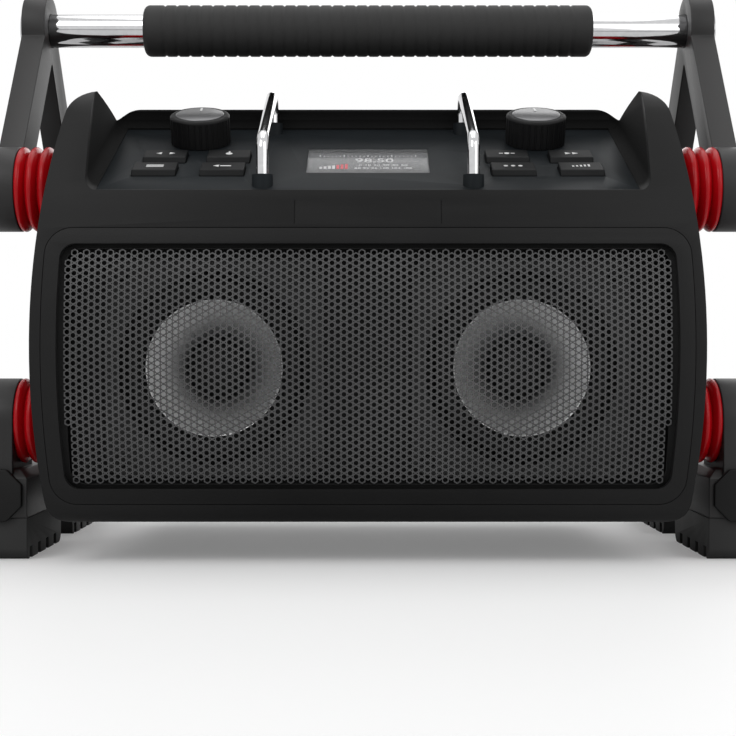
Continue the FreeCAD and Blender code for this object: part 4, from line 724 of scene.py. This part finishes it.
def loudspeaker(side):
    """Bright cone, dark dust cap and half-roll surround."""
    name = SIDE_NAMES[side]
    centre = (side * SPEAKER_X, 0, SPEAKER_Z)
    rim, throat = CONE_RIM_Y, CONE_THROAT_Y
    body = "cone_" + name
    cone = [(CONE_R, rim)]
    for step in range(1, CONE_STEPS + 1):
        share = step / CONE_STEPS
        sunk = share + CONE_BULGE * share * (1 - share)
        cone.append((CONE_R - CONE_FALL * share, rim + (throat - rim) * sunk))
    back = [(radius, along + CONE_T) for radius, along in reversed(cone)]
    outline = cone + back + [cone[0]]
    spun("cone_skin_" + name, outline, centre, cone_paper("cone_pulp_" + name, side), body,
         ("speaker_cone_" + name,))
    cap = arc_points((0.0, throat + DUST_CAP_SINK), DUST_CAP_R, -90.0, -46.5, 10)
    cap.append((DUST_CAP_EDGE_R, throat + DUST_CAP_EDGE_SINK))
    spun("dust_cap_" + name, cap, centre, SURROUND, body)
    seam = (ROLL_SEAM_R, rim - ROLL_SHIFT)
    roll = [seam] + arc_points((ROLL_MIDDLE_R, rim), ROLL_R, 180.0, 360.0, ROLL_STEPS)
    roll += [(SURROUND_LIP_R, rim + 1.2), (SURROUND_OUTER_R, rim + 1.3)]
    roll += [(SURROUND_OUTER_R, rim + 1.9), (SURROUND_LIP_R, rim + 1.9)]
    roll += arc_points((ROLL_MIDDLE_R, rim + ROLL_SHIFT), ROLL_R - ROLL_T, 360.0, 180.0, ROLL_STEPS)
    roll += [seam]
    spun("surround_roll_" + name, roll, centre, SURROUND, body,
         ("speaker_surround_" + name,))


def bellows(side, place):
    """Two rubber absorbers with full round ribs, one above the other."""
    node = "absorbers_" + SIDE_NAMES[side] + "_" + place
    low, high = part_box(node)
    hub_y = (low.y + high.y) / 2 / MM
    profile = [(BELLOWS_BORE_R, 0.0)]
    for step in range(BELLOWS_STEPS + 1):
        along = BELLOWS_LENGTH * step / BELLOWS_STEPS
        wave = abs(math.cos(math.pi * (along - RIB_CREST) / RIB_PITCH)) ** RIB_FULLNESS
        profile.append((RIB_ROOT_R + RIB_SWELL * wave, along))
    profile += [(BELLOWS_BORE_R, BELLOWS_LENGTH), (BELLOWS_BORE_R, 0.0)]
    rib_r = RIB_ROOT_R + RIB_SWELL
    for level, hub_z in (("low", low.z / MM + rib_r), ("high", high.z / MM - rib_r)):
        centre = (side * PAD_FACE_X, hub_y, hub_z)
        spun(node + "_" + level, profile, centre, MATERIALS["red_rubber"], body_of(node),
             (node,), 72, (side, 0, 0))


def grip():
    """Soft sleeve on the handle, with shallow rings and round ends."""
    shoulder_r = GRIP_R - GRIP_EDGE_R
    shoulder = GRIP_HALF - GRIP_EDGE_R
    profile = [(GRIP_BORE_R, -GRIP_HALF), (shoulder_r, -GRIP_HALF)]
    profile += arc_points((shoulder_r, -shoulder), GRIP_EDGE_R, -90.0, 0.0, 6)
    for step in range(1, GRIP_STEPS):
        along = (shoulder - GRIP_PLAIN_END) * (2 * step / GRIP_STEPS - 1)
        wave = math.cos(2 * math.pi * along / GROOVE_PITCH)
        groove = max(0.0, wave - GROOVE_EDGE) / (1 - GROOVE_EDGE)
        profile.append((GRIP_R - GROOVE_DEPTH * groove, along))
    profile += arc_points((shoulder_r, shoulder), GRIP_EDGE_R, 0.0, 90.0, 6)
    profile += [(GRIP_BORE_R, GRIP_HALF), (GRIP_BORE_R, -GRIP_HALF)]
    spun("grip_sleeve", profile, (0, 0, HANDLE_Z), MATERIALS["black_rubber"], "housing",
         ("handle_grip",), 64, (1, 0, 0))


def key_cap(name, s):
    """Key whose front edge slopes down to the panel."""
    node = "key_" + name
    low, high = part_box(node)
    x = (low.x + high.x) / 2 / MM
    cap = bmesh.new()
    bmesh.ops.create_cube(cap, size=1.0)
    bmesh.ops.scale(cap, vec=(KEY_WIDTH, KEY_LENGTH, KEY_PROUD + KEY_SINK), verts=cap.verts)
    bmesh.ops.translate(cap, vec=(x, s, (KEY_PROUD - KEY_SINK) / 2), verts=cap.verts)
    above = [vert for vert in cap.verts if vert.co.z > 0]
    whole = cap.verts[:] + cap.edges[:] + cap.faces[:]
    bmesh.ops.bisect_plane(cap, geom=whole, dist=0.001, plane_co=(0, 0, KEY_FRONT_LIP), plane_no=(0, 0, 1))
    for vert in above:
        if vert.co.y < s:
            vert.co.y += KEY_FRONT_SLOPE
    bmesh.ops.transform(cap, matrix=PANEL_FRAME, verts=cap.verts)
    piece = piece_from(node + "_cap", cap)
    add_bevel(piece, KEY_BEVEL, 3, KEY_BEVEL_ANGLE)
    finish_piece(piece, MATERIALS["key"], body_of(node), (node,))
    key_sign(name, x, s + KEY_FRONT_SLOPE / 2)


def add_bar(printed, across, along, width, length):
    placed = Matrix.Translation((across, along, 0)) @ Matrix.Diagonal((width, length, SIGN_T, 1.0))
    bmesh.ops.create_cube(printed, size=1.0, matrix=placed)


def add_round(printed, across, along, radius, sides, turn):
    placed = Matrix.Translation((across, along, 0)) @ Matrix.Rotation(turn, 4, "Z")
    bmesh.ops.create_cone(printed, cap_ends=True, segments=sides, radius1=radius, radius2=radius,
                          depth=SIGN_T, matrix=placed)


def key_sign(name, x, s):
    """Plain printed sign in the middle of a key."""
    printed = bmesh.new()
    for mark in SIGN_ROUNDS.get(name, ()):
        add_round(printed, *mark)
    for mark in SIGN_BARS.get(name, ()):
        add_bar(printed, *mark)
    place_on_panel(printed, x, s, KEY_PROUD)
    finish_piece(flat_faced(piece_from("sign_" + name, printed)), SIGN_WHITE, "key_" + name)


def place_on_panel(mesh_data, x, s, h):
    """Move a mesh drawn in millimetres about the origin to its place on the panel."""
    bmesh.ops.transform(mesh_data, matrix=PANEL_FRAME @ Matrix.Translation((x, s, h)), verts=mesh_data.verts)


def knob_top(side):
    """Brushed inlay and white pointer on a knob."""
    node = "knob_" + SIDE_NAMES[side]
    low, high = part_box(node)
    x = (low.x + high.x) / 2 / MM
    axis = (PANEL_FRAME.to_3x3() @ Vector((0, 0, 1))).normalized()
    centre = PANEL_FRAME @ Vector((x, KNOB_S, KNOB_TOP)) / MM
    inlay = [(0.0, -0.3), (KNOB_INLAY_R, -0.3), (KNOB_INLAY_R, 0.15)]
    inlay += [(KNOB_INLAY_R - 0.6, 0.4), (0.0, 0.25)]
    spun("inlay_" + SIDE_NAMES[side], inlay, centre, INLAY, node, (), 96, axis)
    printed = bmesh.new()
    add_bar(printed, *POINTER)
    place_on_panel(printed, x, KNOB_S, KNOB_TOP + POINTER_H)
    finish_piece(flat_faced(piece_from("pointer_" + SIDE_NAMES[side], printed)), SIGN_WHITE, node)


def screen_numbers(name, text, size, x, s):
    """Plain white numbers on the screen."""
    letters = bpy.data.curves.new(name, "FONT")
    letters.body = text
    letters.size = size
    letters.extrude = SCREEN_TEXT_T
    letters.align_x = "CENTER"
    holder = bpy.data.objects.new(name, letters)
    bpy.context.scene.collection.objects.link(holder)
    graph = bpy.context.evaluated_depsgraph_get()
    graph.update()
    drawn = bpy.data.meshes.new_from_object(holder.evaluated_get(graph))
    bpy.data.objects.remove(holder)
    printed = bmesh.new()
    printed.from_mesh(drawn)
    place_on_panel(printed, x, s, DISPLAY_INK_H)
    finish_piece(flat_faced(piece_from(name, printed)), SCREEN_WHITE, "housing")


def screen():
    """Level bars, a tuning scale and plain numbers."""
    levels = {"white": (SCREEN_WHITE, range(0, 4)), "red": (SCREEN_RED, range(4, 7))}
    for colour, (material, steps) in levels.items():
        printed = bmesh.new()
        for step in steps:
            height = LEVEL_LOW + LEVEL_RISE * step
            along = LEVELS_S + height / 2
            add_bar(printed, LEVELS_X + LEVEL_PITCH * step, along, LEVEL_WIDTH, height)
        place_on_panel(printed, 0.0, 0.0, DISPLAY_INK_H)
        finish_piece(flat_faced(piece_from("level_" + colour, printed)), material, "housing")
    for name, numbers in SCREEN_NUMBERS.items():
        screen_numbers(name, *numbers)
    scale = bmesh.new()
    for step in range(SCALE_MARKS):
        height = SCALE_SHORT if step % SCALE_LONG_EVERY else SCALE_LONG
        across = (step - SCALE_MARKS // 2) * SCALE_PITCH
        add_bar(scale, across, SCALE_S + height / 2, SCALE_WIDTH, height)
    place_on_panel(scale, 0.0, 0.0, DISPLAY_INK_H)
    finish_piece(flat_faced(piece_from("screen_scale", scale)), SCREEN_WHITE, "housing")


def stage():
    """Pale floor, and a world that the camera sees as white."""
    floor = bmesh.new()
    bmesh.ops.create_grid(floor, x_segments=1, y_segments=1, size=FLOOR_HALF)
    piece = piece_from("floor", floor)
    paint = Paint("floor_paper", base_color=(0.80, 0.80, 0.80), roughness=0.6, emission_strength=1.0)
    seen = paint.node("ShaderNodeLightPath").outputs["Is Camera Ray"]
    paint.set(emission_color=paint.mix(seen, (0.0, 0.0, 0.0), (FLOOR_GLOW, FLOOR_GLOW, FLOOR_GLOW)))
    piece.data.materials.append(paint.material)
    world = bpy.data.worlds.new("studio")
    bpy.context.scene.world = world
    world.use_nodes = True
    studio = Nodes(world.node_tree)
    path = studio.node("ShaderNodeLightPath")
    seen = Field(studio, path.outputs["Is Camera Ray"])
    for ray in ("Is Transmission Ray", "Is Glossy Ray"):
        seen = seen.math("MAXIMUM", Field(studio, path.outputs[ray]))
    strength = studio.node("ShaderNodeMapRange", None, seen, 0.0, 1.0, WORLD_LIGHT, 1.0)
    background = studio.tree.nodes["Background"]
    studio.feed(background.inputs["Color"], (1.0, 1.0, 1.0, 1.0))
    studio.feed(background.inputs["Strength"], strength.outputs[0])


def lamp(name, power, size, place):
    """Square lamp aimed at the middle of the object."""
    light = bpy.data.lights.new(name, "AREA")
    light.energy = power
    light.size = size
    lamp_object = bpy.data.objects.new(name, light)
    place = Vector(place)
    lamp_object.location = place
    lamp_object.rotation_euler = (Vector(LIT_MIDDLE) - place).to_track_quat("-Z", "Y").to_euler()
    bpy.context.scene.collection.objects.link(lamp_object)


def camera():
    view = bpy.data.cameras.new("camera")
    view.lens = LENS
    view.sensor_width = 36.0
    view.clip_start = 0.01
    eye = bpy.data.objects.new("camera", view)
    eye.location = (0.0, CAMERA_Y * MM, CAMERA_Z * MM)
    eye.rotation_euler = (math.pi / 2, 0.0, 0.0)
    bpy.context.scene.collection.objects.link(eye)
    bpy.context.scene.camera = eye


def dress_nodes():
    """Give every CAD node that shows as it is its finish."""
    for node, piece in frame["nodes"].items():
        if piece.hide_render:
            continue
        piece.data.materials.clear()
        piece.data.materials.append(finish_of(node))


for rounded_node, edge_width in ROUNDED_EDGES.items():
    softened(rounded_node, edge_width)
for frame_side in BOTH_SIDES:
    softened("side_frame_" + SIDE_NAMES[frame_side], FRAME_EDGE, FRAME_EDGE_STEPS)
    softened("boots_" + SIDE_NAMES[frame_side], BOOT_EDGE)
    for hub_place in ("front", "rear"):
        bellows(frame_side, hub_place)
    loudspeaker(frame_side)
    knob_top(frame_side)
perforated_grille()
grille_rim()
grip()
for row_s, row_keys in KEY_ROWS.items():
    for key in row_keys:
        key_cap(key, row_s)
screen()
dress_nodes()
stage()
for lamp_name, lamp_numbers in LAMPS.items():
    lamp(lamp_name, *lamp_numbers)
camera()

bpy.context.scene.view_settings.view_transform = "Standard"
